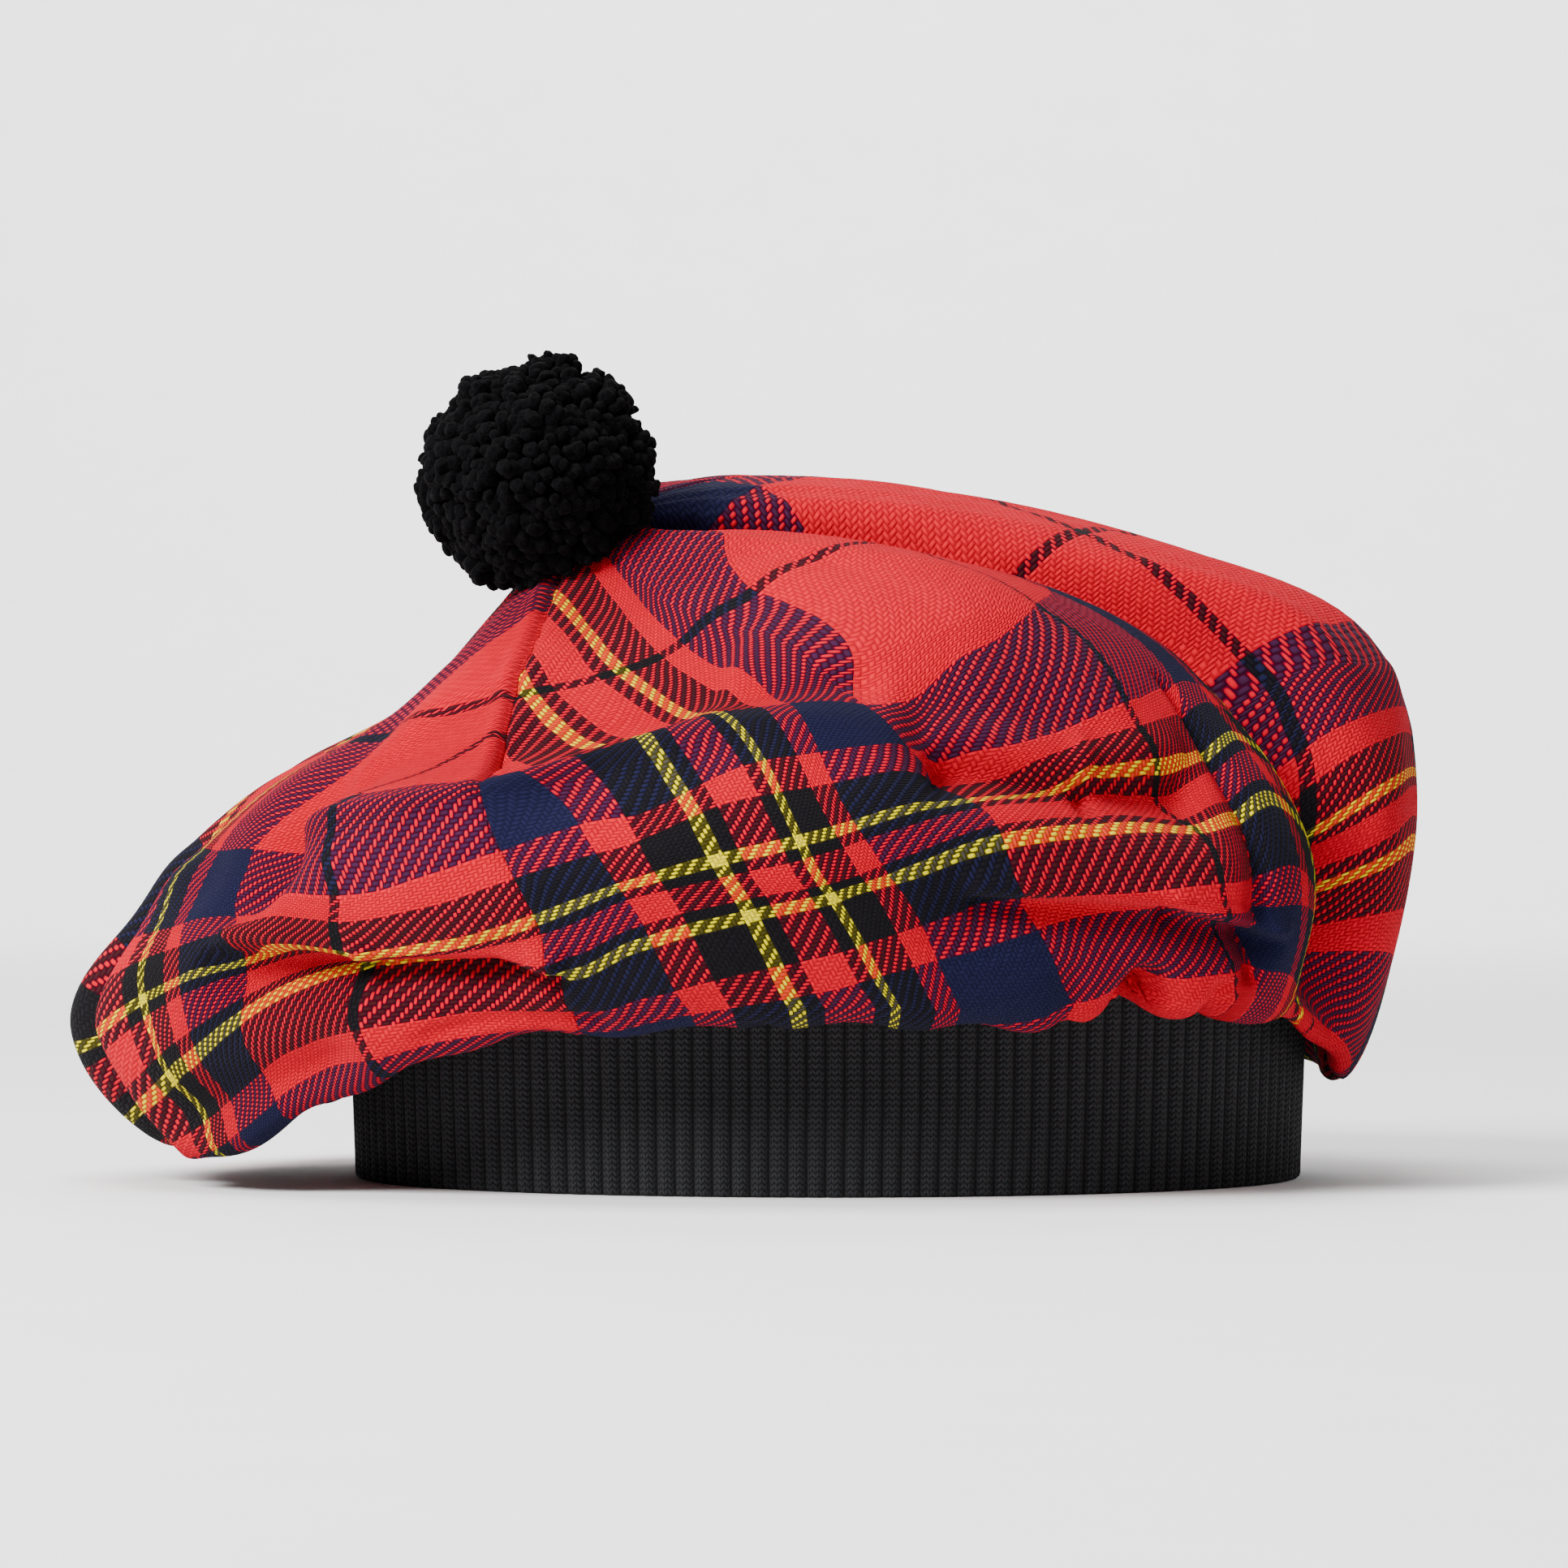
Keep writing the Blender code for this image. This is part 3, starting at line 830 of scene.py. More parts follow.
@dataclass(frozen=True)
class TartanTwill:
    """Worsted wool yarn woven two over, two under, and lightly brushed.

    The eye sees slanting wales of rounded floats, clean stripes where both yarns are one colour,
    mixed squares where they differ, and a thin bloom of loose fibre.
    """

    name: str = "Worsted wool tartan, twill woven and brushed"
    half_sett: tuple = (
        (Dye.BLACK, 2),
        (Dye.RED, 50),
        (Dye.NAVY, 29),
        (Dye.RED, 10),
        (Dye.BLACK, 13),
        (Dye.YELLOW, 4),
        (Dye.BLACK, 4),
        (Dye.RED, 5),
    )
    wale_threads: float = 4.0
    bleed: float = 0.06
    # Where the painted shade in the gaps between floats fades out, and how far it turns the colour to the darker yarn.
    gap_shade_top: float = 0.65
    gap_shade_share: float = 0.9
    # How dark the painted shade in the crevices between floats gets, as a share of the full colour.
    crevice_shade_darkest: float = 0.58
    unevenness: float = 0.12
    waver_threads: float = 15.0
    waver: float = 1.3
    relief: float = 0.35 * MM
    roughness: float = 0.9
    sheen: float = 0.02
    specular: float = 0.02

    def sett_ramp(self, tree: bpy.types.NodeTree, thread: bpy.types.Node) -> bpy.types.Node:
        """Colour threads by their number in the sett, which runs back and forth.

        Args:
            tree: the material's tree.
            thread: gives the thread's number, counted from the narrow black stripe.

        Returns:
            A ramp that gives the thread's colour.
        """
        half = sum(count for _, count in self.half_sett)
        place = put(tree, "ShaderNodeMath", thread, float(half), operation="PINGPONG")
        middle = put(tree, "ShaderNodeMath", place, 0.5, operation="ADD")
        share = put(tree, "ShaderNodeMath", middle, float(half), operation="DIVIDE")
        ramp = put(tree, "ShaderNodeValToRGB", share)
        ramp.color_ramp.interpolation = "CONSTANT"
        counted = 0
        for i, (dye, count) in enumerate(self.half_sett):
            stops = ramp.color_ramp.elements
            stop = stops[0] if i == 0 else stops.new(counted / half)
            stop.position = counted / half
            stop.color = linear(dye.value)
            counted += count
        last = ramp.color_ramp.elements[-1]
        last.color = linear(self.half_sett[-1][0].value)
        return ramp

    def material(self) -> bpy.types.Material:
        """Make the cloth's material, or give the one already made.

        Returns:
            The material.
        """
        made = bpy.data.materials.get(self.name)
        if made:
            return made
        material, tree = new_material(self.name)
        threads = put(tree, "ShaderNodeUVMap", uv_map="threads")
        drift = put(tree, "ShaderNodeTexNoise", threads, named={"Scale": 1 / self.waver_threads, "Detail": 1.0})
        centred = put(tree, "ShaderNodeVectorMath", drift.outputs["Color"], (0.5, 0.5, 0.5), operation="SUBTRACT")
        nudge = put(tree, "ShaderNodeVectorMath", centred, (self.waver,) * 3, operation="MULTIPLY")
        place = put(tree, "ShaderNodeVectorMath", threads, nudge, operation="ADD")
        axes = put(tree, "ShaderNodeSeparateXYZ", place)
        end = put(tree, "ShaderNodeMath", axes.outputs[0], operation="FLOOR")
        pick = put(tree, "ShaderNodeMath", axes.outputs[1], operation="FLOOR")
        in_end = put(tree, "ShaderNodeMath", axes.outputs[0], operation="FRACT")
        in_pick = put(tree, "ShaderNodeMath", axes.outputs[1], operation="FRACT")

        # The warp end lies on top over two picks out of four, one pick later on each next end.
        both = put(tree, "ShaderNodeMath", end, pick, operation="ADD")
        step = put(tree, "ShaderNodeMath", both, self.wale_threads, operation="FLOORED_MODULO")
        warp_up = put(tree, "ShaderNodeMath", step, 1.5, operation="LESS_THAN")

        # A float is round across and rises from under its neighbours to its middle.
        half_turn = math.pi / 2
        warp_way = put(tree, "ShaderNodeMath", step, in_pick, operation="ADD")
        warp_rise = put(tree, "ShaderNodeMath", warp_way, half_turn, operation="MULTIPLY")
        warp_rise = put(tree, "ShaderNodeMath", warp_rise, operation="SINE")
        warp_round = put(tree, "ShaderNodeMath", in_end, math.pi, operation="MULTIPLY")
        warp_round = put(tree, "ShaderNodeMath", warp_round, operation="SINE")
        warp_height = put(tree, "ShaderNodeMath", warp_rise, warp_round, operation="MULTIPLY")
        weft_way = put(tree, "ShaderNodeMath", step, in_end, operation="ADD")
        weft_way = put(tree, "ShaderNodeMath", weft_way, self.wale_threads / 2, operation="SUBTRACT")
        weft_rise = put(tree, "ShaderNodeMath", weft_way, half_turn, operation="MULTIPLY")
        weft_rise = put(tree, "ShaderNodeMath", weft_rise, operation="SINE")
        weft_round = put(tree, "ShaderNodeMath", in_pick, math.pi, operation="MULTIPLY")
        weft_round = put(tree, "ShaderNodeMath", weft_round, operation="SINE")
        weft_height = put(tree, "ShaderNodeMath", weft_rise, weft_round, operation="MULTIPLY")
        height = put(tree, "ShaderNodeMix", warp_up, named={2: weft_height, 3: warp_height})
        height = put(tree, "ShaderNodeMath", height, 0.0, operation="MAXIMUM")
        height = put(tree, "ShaderNodeMath", height, 0.65, operation="POWER")

        warp_colour = self.sett_ramp(tree, end)
        weft_colour = self.sett_ramp(tree, pick)
        on_top = put(tree, "ShaderNodeMix", warp_up, named={6: weft_colour, 7: warp_colour}, data_type="RGBA")
        under = put(tree, "ShaderNodeMix", warp_up, named={6: warp_colour, 7: weft_colour}, data_type="RGBA")
        fuzzy = put(
            tree, "ShaderNodeMix", self.bleed, named={6: on_top.outputs[2], 7: under.outputs[2]}, data_type="RGBA"
        )
        # Where a float dips, the colour turns to the darker of the two yarns: painted shade in the gap between floats.
        painted_gap_mask = put(
            tree, "ShaderNodeMapRange", height,
            named={"From Min": 0.3, "From Max": self.gap_shade_top, "To Min": self.gap_shade_share, "To Max": 0.0},
        )
        yarn = put(
            tree, "ShaderNodeMix", painted_gap_mask,
            named={6: fuzzy.outputs[2], 7: under.outputs[2]}, data_type="RGBA", blend_type="DARKEN",
        )

        # Each thread is a little lighter or darker, and its fibres break up its face.
        end_tone = put(tree, "ShaderNodeTexWhiteNoise", named={"W": end}, noise_dimensions="1D")
        pick_tone = put(tree, "ShaderNodeTexWhiteNoise", named={"W": pick}, noise_dimensions="1D")
        tone = put(tree, "ShaderNodeMix", warp_up, named={2: pick_tone, 3: end_tone})
        fibre = put(tree, "ShaderNodeTexNoise", threads, named={"Scale": 2.6, "Detail": 3.0, "Roughness": 0.7})
        blend = put(tree, "ShaderNodeMath", tone, fibre, operation="ADD")
        tone_low, tone_high = 1.0 - self.unevenness, 1.0 + self.unevenness
        light = put(
            tree, "ShaderNodeMapRange", blend,
            named={"From Min": 0.3, "From Max": 1.7, "To Min": tone_low, "To Max": tone_high},
        )
        # Painted shade: the colour darkens towards the low edges of each float, in the crevices between floats.
        painted_crevice_mask = put(
            tree, "ShaderNodeMapRange", height, named={"To Min": self.crevice_shade_darkest, "To Max": 1.0},
        )
        value = put(tree, "ShaderNodeMath", light, painted_crevice_mask, operation="MULTIPLY")
        shaded = put(tree, "ShaderNodeVectorMath", yarn.outputs[2], value, operation="MULTIPLY")

        rough_face = put(tree, "ShaderNodeMath", fibre, 0.35, operation="MULTIPLY")
        raised = put(tree, "ShaderNodeMath", height, rough_face, operation="ADD")
        bump = put(tree, "ShaderNodeBump", named={"Strength": 0.9, "Distance": self.relief, "Height": raised})
        surface = put(
            tree, "ShaderNodeBsdfPrincipled",
            named={
                "Base Color": shaded,
                "Roughness": self.roughness,
                "Normal": bump,
                "Specular IOR Level": self.specular,
                "Sheen Weight": self.sheen,
                "Sheen Roughness": 0.45,
            },
        )
        put(tree, "ShaderNodeOutputMaterial", surface)
        return material


@dataclass(frozen=True)
class RibKnit:
    """Black acrylic yarn, machine knitted as a rib and folded double.

    The eye sees matte black ribs of three wales each, whose stacked loops carry short grey painted highlights.
    """

    name: str = "Black acrylic rib knit"
    yarn: str = "0B0B0D"
    # The lighter grey of the painted highlight on the raised loops.
    loop_highlight: str = "3E3F43"
    wales: float = 3.0
    relief: float = 0.45 * MM
    slope: float = 1.1
    roughness: float = 0.75
    sheen: float = 0.03
    specular: float = 0.12

    def material(self) -> bpy.types.Material:
        """Make the knit's material.

        Returns:
            The material.
        """
        material, tree = new_material(self.name)
        loops = put(tree, "ShaderNodeUVMap", uv_map="threads")
        axes = put(tree, "ShaderNodeSeparateXYZ", loops)
        in_rib = put(tree, "ShaderNodeMath", axes.outputs[0], operation="FRACT")
        from_crest = put(tree, "ShaderNodeMath", in_rib, 0.5, operation="SUBTRACT")
        off_crest = put(tree, "ShaderNodeMath", from_crest, operation="ABSOLUTE")
        wale = put(tree, "ShaderNodeMath", axes.outputs[0], self.wales, operation="MULTIPLY")
        in_wale = put(tree, "ShaderNodeMath", wale, operation="FRACT")
        from_middle = put(tree, "ShaderNodeMath", in_wale, 0.5, operation="SUBTRACT")
        aside = put(tree, "ShaderNodeMath", from_middle, operation="ABSOLUTE")

        # A loop's two legs rise away from the wale's middle, so that the courses make arrowheads.
        lift = put(tree, "ShaderNodeMath", aside, self.slope, operation="MULTIPLY")
        course = put(tree, "ShaderNodeMath", axes.outputs[1], lift, operation="SUBTRACT")
        in_course = put(tree, "ShaderNodeMath", course, operation="FRACT")
        leg = put(tree, "ShaderNodeMath", in_course, math.pi, operation="MULTIPLY")
        leg = put(tree, "ShaderNodeMath", leg, operation="SINE")
        split = put(tree, "ShaderNodeMapRange", aside, named={"From Min": 0.0, "From Max": 0.07})
        legs = put(tree, "ShaderNodeMath", leg, split, operation="MULTIPLY")
        edge = put(
            tree, "ShaderNodeMapRange", off_crest,
            named={"From Min": 0.36, "From Max": 0.48, "To Min": 1.0, "To Max": 0.0},
        )
        hollow = put(
            tree, "ShaderNodeMapRange", aside,
            named={"From Min": 0.38, "From Max": 0.5, "To Min": 1.0, "To Max": 0.45},
        )
        loop = put(tree, "ShaderNodeMath", legs, hollow, operation="MULTIPLY")
        height = put(tree, "ShaderNodeMath", loop, edge, operation="MULTIPLY")
        fibre = put(tree, "ShaderNodeTexNoise", loops, named={"Scale": 7.0, "Detail": 4.0, "Roughness": 0.7})
        # Painted highlight: the raised loop legs are painted lighter grey, fading to the black yarn at the rib edges
        # and in the hollows between wales.
        tone = put(tree, "ShaderNodeMath", height, fibre, operation="MULTIPLY")
        colour = put(
            tree, "ShaderNodeMix", tone, named={6: linear(self.yarn), 7: linear(self.loop_highlight)}, data_type="RGBA"
        )
        fluff = put(tree, "ShaderNodeMath", fibre, 0.3, operation="MULTIPLY")
        raised = put(tree, "ShaderNodeMath", height, fluff, operation="ADD")
        bump = put(tree, "ShaderNodeBump", named={"Strength": 1.0, "Distance": self.relief, "Height": raised})
        surface = put(
            tree, "ShaderNodeBsdfPrincipled",
            named={
                "Base Color": colour.outputs[2],
                "Roughness": self.roughness,
                "Normal": bump,
                "Specular IOR Level": self.specular,
                "Sheen Weight": self.sheen,
                "Sheen Roughness": 0.5,
            },
        )
        put(tree, "ShaderNodeOutputMaterial", surface)
        return material


@dataclass
class Headband:
    """The ribbed band: a folded double ring of knit, with rounded ribs and rims."""

    crown: CrownForm
    rib_pitch: float = 4.1 * MM
    rib_depth: float = 0.9 * MM
    course_pitch: float = 1.2 * MM
    points_per_rib: int = 8
    rim_round: float = 1.2 * MM
    outer_rows: int = 22
    inner_rows: int = 8

    def profile(self) -> list[tuple[float, float, float]]:
        """List the ring's cross-section, from the top rim down the outside and up the inside.

        Returns:
            For each row how far out of the middle line it is, how high, and its share of the ribs.
        """
        half, tall = self.crown.band_wall / 2, self.crown.band_height
        rows = [(0.0, tall, 0.0), (half * 0.8, tall, 0.4)]
        for i in range(self.outer_rows + 1):
            rows.append((half, tall - (tall - self.rim_round) * (i + 0.3) / (self.outer_rows + 0.3), 1.0))
        for turn in (30, 60):
            angle = math.radians(turn)
            height = self.rim_round * (1 - math.sin(angle))
            rows.append((half * math.cos(angle), height, math.cos(angle)))
        rows.append((0.0, 0.0, 0.0))
        for turn in (60, 30):
            angle = math.radians(turn)
            height = self.rim_round * (1 - math.sin(angle))
            rows.append((-half * math.cos(angle), height, 0.5 * math.cos(angle)))
        for i in range(self.inner_rows + 1):
            height = self.rim_round + (tall - self.rim_round) * i / self.inner_rows
            rows.append((-half, height, -0.5))
        return rows

    def make(self, finish: RibKnit) -> bpy.types.Object:
        """Build the band and dress it.

        Args:
            finish: the knit.

        Returns:
            The finished band.
        """
        around = math.pi * (self.crown.band_width + self.crown.band_depth) / 2
        ribs = round(around / self.rib_pitch)
        steps = ribs * self.points_per_rib
        phase = np.arange(steps + 1) / self.points_per_rib
        direction = phase / ribs * 360.0
        groove = (0.5 + 0.5 * np.cos(2 * math.pi * phase)) ** 1.6
        points, threads = [], []
        for outward, height, share in self.profile():
            lean = self.crown.band_flare * height / self.crown.band_height
            offset = outward + lean - self.rib_depth * groove * share
            points.append(self.crown.band_point(direction, height, offset))
            threads.append(np.stack([phase, np.full(steps + 1, height / self.course_pitch)], axis=1))
        rows = len(points)
        faces = grid_faces(rows, steps + 1)
        last = (rows - 1) * (steps + 1) + np.arange(steps)
        first = np.arange(steps)
        cap = np.stack([last, last + 1, first + 1, first], axis=1)
        piece = new_piece("knit_headband", np.concatenate(points), np.concatenate([faces, cap]), np.concatenate(threads))
        build = bmesh.new()
        build.from_mesh(piece.data)
        bmesh.ops.remove_doubles(build, verts=build.verts, dist=0.00001)
        bmesh.ops.recalc_face_normals(build, faces=build.faces)
        build.to_mesh(piece.data)
        build.free()
        dress(piece, finish.material(), "headband")
        return piece


@dataclass(frozen=True)
class PompomYarn:
    """Black chenille-like acrylic yarn, cut and fluffed.

    The eye sees deep black that takes almost no light, with faint grey on the tips of the tufts.
    """

    name: str = "Black acrylic yarn, cut and fluffed"
    deep: str = "020203"
    tip: str = "09080A"
    relief: float = 0.8 * MM
    roughness: float = 0.95
    sheen: float = 0.01
    specular: float = 0.03

    def material(self) -> bpy.types.Material:
        """Make the yarn's material.

        Returns:
            The material.
        """
        material, tree = new_material(self.name)
        place = put(tree, "ShaderNodeTexCoord")
        fibre = put(
            tree, "ShaderNodeTexNoise", place.outputs["Object"],
            named={"Scale": 1100.0, "Detail": 4.0, "Roughness": 0.75},
        )
        curl = put(tree, "ShaderNodeTexVoronoi", place.outputs["Object"], named={"Scale": 800.0})
        both = put(tree, "ShaderNodeMath", fibre, curl, operation="MULTIPLY")
        spread = put(tree, "ShaderNodeMapRange", both, named={"From Min": 0.05, "From Max": 0.5})
        colour = put(
            tree, "ShaderNodeMix", spread, named={6: linear(self.deep), 7: linear(self.tip)}, data_type="RGBA"
        )
        bump = put(tree, "ShaderNodeBump", named={"Strength": 1.0, "Distance": self.relief, "Height": both})
        surface = put(
            tree, "ShaderNodeBsdfPrincipled",
            named={
                "Base Color": colour.outputs[2],
                "Roughness": self.roughness,
                "Normal": bump,
                "Specular IOR Level": self.specular,
                "Sheen Weight": self.sheen,
                "Sheen Roughness": 0.6,
            },
        )
        put(tree, "ShaderNodeOutputMaterial", surface)
        return material


@dataclass
class Pompom:
    """A ball of short yarn tufts, seated on the apex of the crown."""

    crown: CrownForm
    width: float = 47 * MM
    height: float = 38 * MM
    tuft_count: int = 1500
    tuft_radius: float = 1.55 * MM
    tuft_length: float = 8.0 * MM
    length_spread: float = 0.5 * MM
    lean_spread: float = 0.14
    sides: int = 6
    seat_reach: float = 3.0 * MM
    seat_gap: float = 0.2 * MM
    seat_batches: int = 80
    bump_count: int = 60
    bump_reach: float = 0.36
    bump_height: float = 2.0 * MM
    core_share: float = 0.84
    core_rows: int = 18
    core_columns: int = 30
    seed: int = 7

    def seat(self, turn: Array) -> Array:
        """Find points of the crown's cloth below the pompom, in the pompom's own axes."""
        directions, levels = np.meshgrid(np.linspace(0.0, 360.0, 72, endpoint=False), np.linspace(0.02, 1.0, 50))
        cloth = self.crown.face(directions.ravel(), levels.ravel())
        return (cloth - np.array(self.crown.apex)) @ turn

    def tufts(self) -> tuple[Array, Array]:
        """Build all the tufts as bent, round-ended strands.

        Returns:
            The points in the pompom's own axes, with the seat at the origin, and the faces.
        """
        random = np.random.default_rng(self.seed)
        index = np.arange(self.tuft_count) + 0.5
        polar = np.arccos(1 - 2 * index / self.tuft_count)
        around = math.pi * (1 + 5 ** 0.5) * index
        unit = np.stack([np.cos(around) * np.sin(polar), np.sin(around) * np.sin(polar), np.cos(polar)], axis=1)
        unit += random.normal(0.0, 0.03, unit.shape)
        unit /= np.linalg.norm(unit, axis=1)[:, None]
        lean = random.normal(0.0, self.lean_spread, unit.shape)
        lean -= (lean * unit).sum(axis=1)[:, None] * unit
        side = np.cross(unit, np.array([0.31, 0.17, 0.93]))
        side /= np.linalg.norm(side, axis=1)[:, None]
        other = np.cross(unit, side)
        bumps = random.normal(0.0, 1.0, (self.bump_count, 3))
        bumps /= np.linalg.norm(bumps, axis=1)[:, None]
        nearest = np.arccos(np.clip(unit @ bumps.T, -1.0, 1.0)).min(axis=1)
        raised = self.bump_height * (1.0 - ease(nearest / self.bump_reach) * 1.5)
        radius = self.width / 2 + raised + random.normal(0.0, self.length_spread, self.tuft_count)
        thick = self.tuft_radius * random.uniform(0.75, 1.25, self.tuft_count)

        # Stations down a tuft from its root to its round tip: share of its length, and of its radius.
        stations = ((0.0, 0.7), (0.5, 0.9), (0.8, 1.0), (0.94, 0.85), (1.0, 0.45))
        turns = np.arange(self.sides) * 2 * math.pi / self.sides
        rings = []
        for share, girth in stations:
            from_tip = (1.0 - share) * self.tuft_length
            middle = unit * (radius - from_tip)[:, None] + lean * (self.tuft_length * share ** 2)
            ring = (
                middle[:, None, :]
                + side[:, None, :] * (np.cos(turns)[None, :] * thick[:, None] * girth)[:, :, None]
                + other[:, None, :] * (np.sin(turns)[None, :] * thick[:, None] * girth)[:, :, None]
            )
            rings.append(ring)
        points = np.stack(rings, axis=1)
        per_tuft = len(stations) * self.sides
        one = grid_faces(len(stations), self.sides, closed=True)
        cap = np.arange(self.sides)[None, :] + (len(stations) - 1) * self.sides
        root = np.arange(self.sides)[::-1][None, :]
        starts = np.arange(self.tuft_count) * per_tuft
        quads = (one[None] + starts[:, None, None]).reshape(-1, 4).tolist()
        ends = (np.concatenate([cap, root])[None] + starts[:, None, None]).reshape(-1, self.sides).tolist()

        # The tied middle of the ball, below the tufts.
        start = self.tuft_count * per_tuft
        down, around = np.meshgrid(
            np.linspace(0.1, math.pi - 0.1, self.core_rows),
            np.arange(self.core_columns) * 2 * math.pi / self.core_columns,
            indexing="ij",
        )
        core = np.stack([np.sin(down) * np.cos(around), np.sin(down) * np.sin(around), np.cos(down)], axis=-1)
        core = core.reshape(-1, 3) * self.width / 2 * self.core_share
        skin = grid_faces(self.core_rows, self.core_columns, start=start, closed=True).tolist()
        last = start + (self.core_rows - 1) * self.core_columns
        poles = [[start + i for i in range(self.core_columns)], [last + i for i in reversed(range(self.core_columns))]]
        return np.concatenate([points.reshape(-1, 3), core]), quads + ends + skin + poles

    def make(self, finish: PompomYarn) -> bpy.types.Object:
        """Build the pompom, seat it on the crown and dress it.

        Args:
            finish: the yarn.

        Returns:
            The finished pompom.
        """
        points, faces = self.tufts()
        points[:, 2] += self.height - self.width / 2
        normal = Vector(self.crown.apex_normal).normalized()
        turn = np.array(Vector((0, 0, 1)).rotation_difference(normal).to_matrix())
        cloth = self.seat(turn)
        low = np.flatnonzero(points[:, 2] < self.height / 2)
        for some in np.array_split(low, self.seat_batches):
            aside = np.linalg.norm(points[some][:, None, :2] - cloth[None, :, :2], axis=2)
            under = np.where(aside < self.seat_reach, cloth[None, :, 2], -1.0).max(axis=1)
            points[some, 2] = np.maximum(points[some, 2], under + self.seat_gap)
        places = points @ turn.T + np.array(self.crown.apex)
        mesh = bpy.data.meshes.new("yarn_pompom")
        mesh.from_pydata(places.tolist(), [], faces)
        mesh.shade_smooth()
        piece = bpy.data.objects.new("yarn_pompom", mesh)
        bpy.context.scene.collection.objects.link(piece)
        dress(piece, finish.material(), "pompom")
        return piece


@dataclass(frozen=True)
class StudioPaper:
    """Matte white background paper on a roll, with the faint grain of its pulp."""

    name: str = "Matte white background paper"
    light: str = "FFFFFF"
    grain: str = "F7F7F7"

    def material(self) -> bpy.types.Material:
        """Make the paper's material.

        Returns:
            The material.
        """
        material, tree = new_material(self.name)
        place = put(tree, "ShaderNodeTexCoord")
        pulp = put(tree, "ShaderNodeTexNoise", place.outputs["Object"], named={"Scale": 30.0, "Detail": 3.0})
        colour = put(
            tree, "ShaderNodeMix", pulp, named={6: linear(self.light), 7: linear(self.grain)}, data_type="RGBA"
        )
        surface = put(
            tree, "ShaderNodeBsdfPrincipled",
            named={"Base Color": colour.outputs[2], "Roughness": 0.95, "Specular IOR Level": 0.1},
        )
        put(tree, "ShaderNodeOutputMaterial", surface)
        return material


@dataclass
class Studio:
    """A paper sweep, soft lights and the camera."""

    target: tuple = (-9.1 * MM, 0.0, 81.6 * MM)
    distance: float = 1.6
    lens: float = 176.8
    sweep_front: float = -4.0
    sweep_back: float = 2.5
    sweep_radius: float = 1.5
    sweep_height: float = 4.0
    sweep_half_width: float = 5.0

    def build_sweep(self, finish: StudioPaper) -> None:
        """Lay the floor and curve it up behind the hat.

        Args:
            finish: the paper.
        """
        line = [(self.sweep_front, 0.0), (self.sweep_back, 0.0)]
        for turn in range(6, 90, 6):
            angle = math.radians(turn)
            y = self.sweep_back + self.sweep_radius * math.sin(angle)
            line.append((y, self.sweep_radius * (1 - math.cos(angle))))
        line.append((self.sweep_back + self.sweep_radius, self.sweep_height))
        sides = (-self.sweep_half_width, self.sweep_half_width)
        points = np.array([(x, y, z) for y, z in line for x in sides])
        floor = new_piece("paper_sweep", points, grid_faces(len(line), 2))
        floor.data.materials.append(finish.material())

    def add_light(self, name: str, place: tuple, size: float, power: float, aim: tuple) -> None:
        """Hang a square soft light.

        Args:
            name: the light's name.
            place: where it hangs.
            size: the length of its side.
            power: its power in watts.
            aim: what it points at.
        """
        data = bpy.data.lights.new(name, "AREA")
        data.size = size
        data.energy = power
        light = bpy.data.objects.new(name, data)
        light.location = place
        light.rotation_euler = (Vector(aim) - Vector(place)).to_track_quat("-Z", "Y").to_euler()
        bpy.context.scene.collection.objects.link(light)

    def light(self) -> None:
        """Set the room's glow and the lights."""
        world = bpy.data.worlds.new("soft_room")
        world.use_nodes = True
        world.node_tree.nodes.clear()
        glow = put(world.node_tree, "ShaderNodeBackground", (1.0, 1.0, 1.0, 1.0), 0.26)
        put(world.node_tree, "ShaderNodeOutputWorld", glow)
        bpy.context.scene.world = world
        centre = (0.0, 0.0, 0.08)
        self.add_light("key_softbox", (-1.25, -1.25, 1.3), 0.9, 98.0, centre)
        self.add_light("fill_softbox", (1.4, -1.2, 0.9), 1.2, 6.0, centre)
        self.add_light("top_softbox", (-0.35, 0.0, 1.9), 1.2, 36.0, centre)
        self.add_light("backdrop_softbox", (0.0, 2.8, 2.6), 2.0, 150.0, (0.0, 4.0, 0.3))

    def aim_camera(self) -> None:
        """Stand the camera level with the hat, straight in front of it."""
        data = bpy.data.cameras.new("front_view")
        data.lens = self.lens
        data.sensor_width = 36.0
        camera = bpy.data.objects.new("front_view", data)
        camera.location = Vector(self.target) + Vector((0.0, -self.distance, 0.0))
        camera.rotation_euler = (math.radians(90.0), 0.0, 0.0)
        bpy.context.scene.collection.objects.link(camera)
        bpy.context.scene.camera = camera


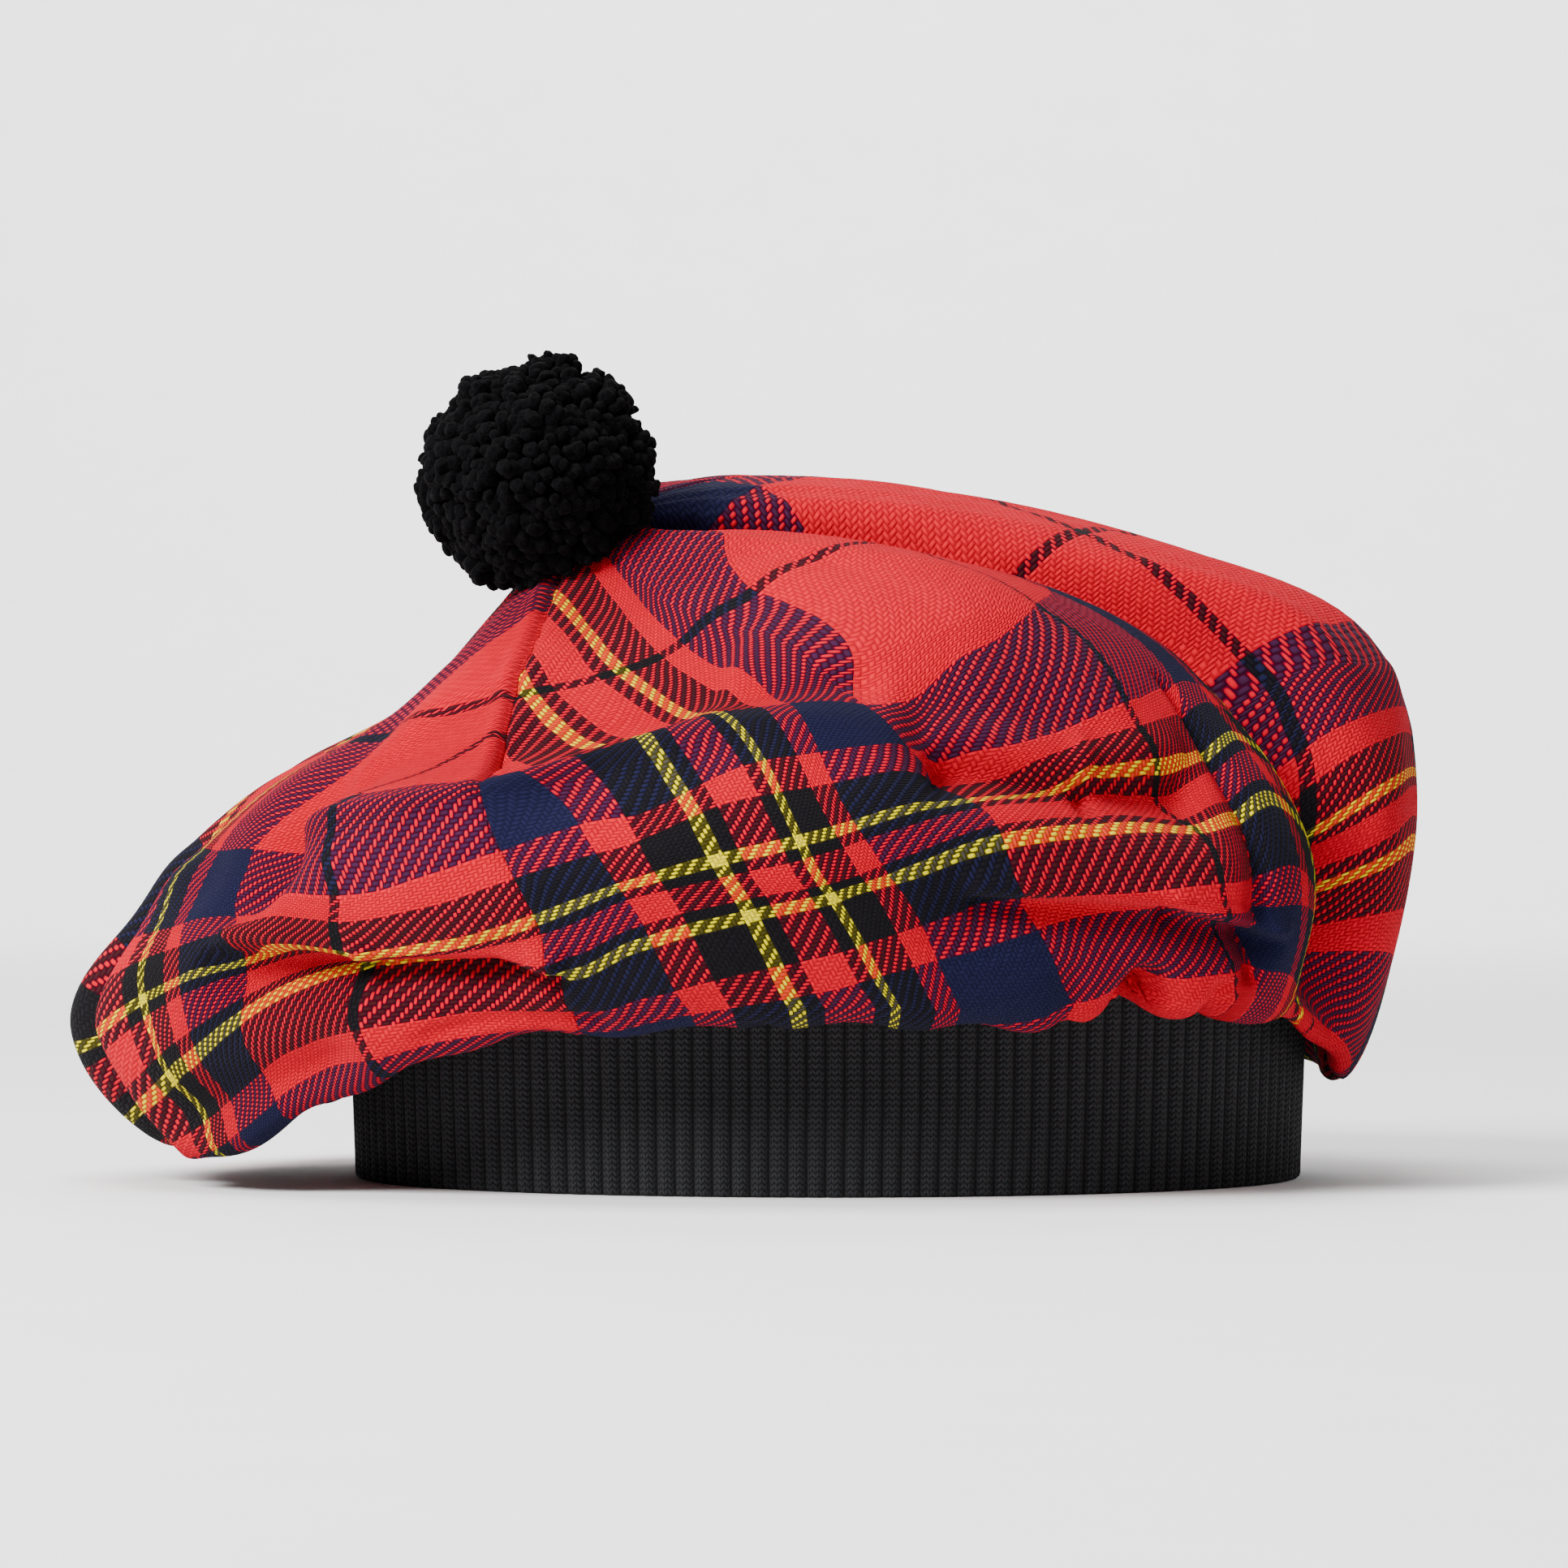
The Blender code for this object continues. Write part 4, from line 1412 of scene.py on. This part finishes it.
def main() -> None:
    """Build the hat, its studio and its camera, and report each piece."""
    logging.basicConfig(level=logging.INFO, format="%(message)s")
    studio = Studio()
    studio.aim_camera()
    crown = CrownForm()
    chart = ClothChart(crown)
    twill = TartanTwill()
    front_left = (-123.8, -123.5, -123.3, -121.5, -119.2, -117.0, -115.3)
    front_right = (-31.0,) * 7
    back_right = (56.0,) * 7
    back_left = (152.0,) * 7
    gores = (
        Gore(
            "tartan_gore_front", "crown_gore_front", front_left, front_right,
            (
                (-80, -129, -129.5, -131, -128, -125, -121.5, -119),
                (-63, -123, -124, -126, -121, -118, -114.5, -110),
                (-32, -113, -113, -111, -106.2, -102, -98.8, -93),
                (-17, -108, -108, -105, -98.8, -95, -91.9, -84.3),
                (5, -102, -102, -97.5, -92.5, -89, -84.5, -77),
                (28, -97, -94.5, -91.5, -85, -75.5, -72.3, -65),
                (66, -74, -72, -60.8, -57.5, -54, -52.8, -48.5),
                (76, -66, -64, -57, -55.3, -52.3, -51.3, -48.5),
                (104, -52, -50, -47, -51, -50, -49.6, -47),
                (128, -45, -44, -42, -44.8, -44.2, -43.7, -42.5),
                (150, -39, -38.5, -38.5, -41, -40.5, -40, -39),
                (166, -31, -31, -31, -31, -31, -31, -31),
            ),
            66.0, (0.19, 0.22, 0.0276), crown, chart,
        ),
        LobeGore(
            "tartan_gore_right", "crown_gore_right", front_right, back_right, (),
            66.0, (0.19, 0.24, 0.0336), crown, chart,
        ),
        Gore(
            "tartan_gore_back", "crown_gore_back", back_right, back_left,
            ((-95, *back_right), (95, *back_left)),
            -66.0, (0.2, 0.24, 0.0376), crown, chart,
        ),
        Gore(
            "tartan_gore_left", "crown_gore_left", tuple(place - 360.0 for place in back_left), front_left,
            (
                (-95, -208, -208, -208, -208, -208, -208, -208),
                (-57, -185, -185, -185, -185, -185, -185, -185),
                (-34, -172, -172, -172, -171, -170, -168, -168),
                (-16, -162, -162, -162, -160, -158, -156, -154),
                (26, -153, -153, -152, -150.3, -147.5, -147, -146.5),
                (66, -138, -138, -138, -138, -136.3, -136.5, -136),
                (95, -123, -123, -123, -122, -121, -120, -120),
                (110, -116, -116, -116, -115, -114, -113, -112),
            ),
            66.0, (0.19, 0.22, 0.0315), crown, chart, ridge=0.9 * MM,
        ),
    )
    for gore in gores:
        gore.make(twill)
    Headband(crown).make(RibKnit())
    Pompom(crown).make(PompomYarn())
    studio.build_sweep(StudioPaper())
    studio.light()


if __name__ == "__main__":
    main()
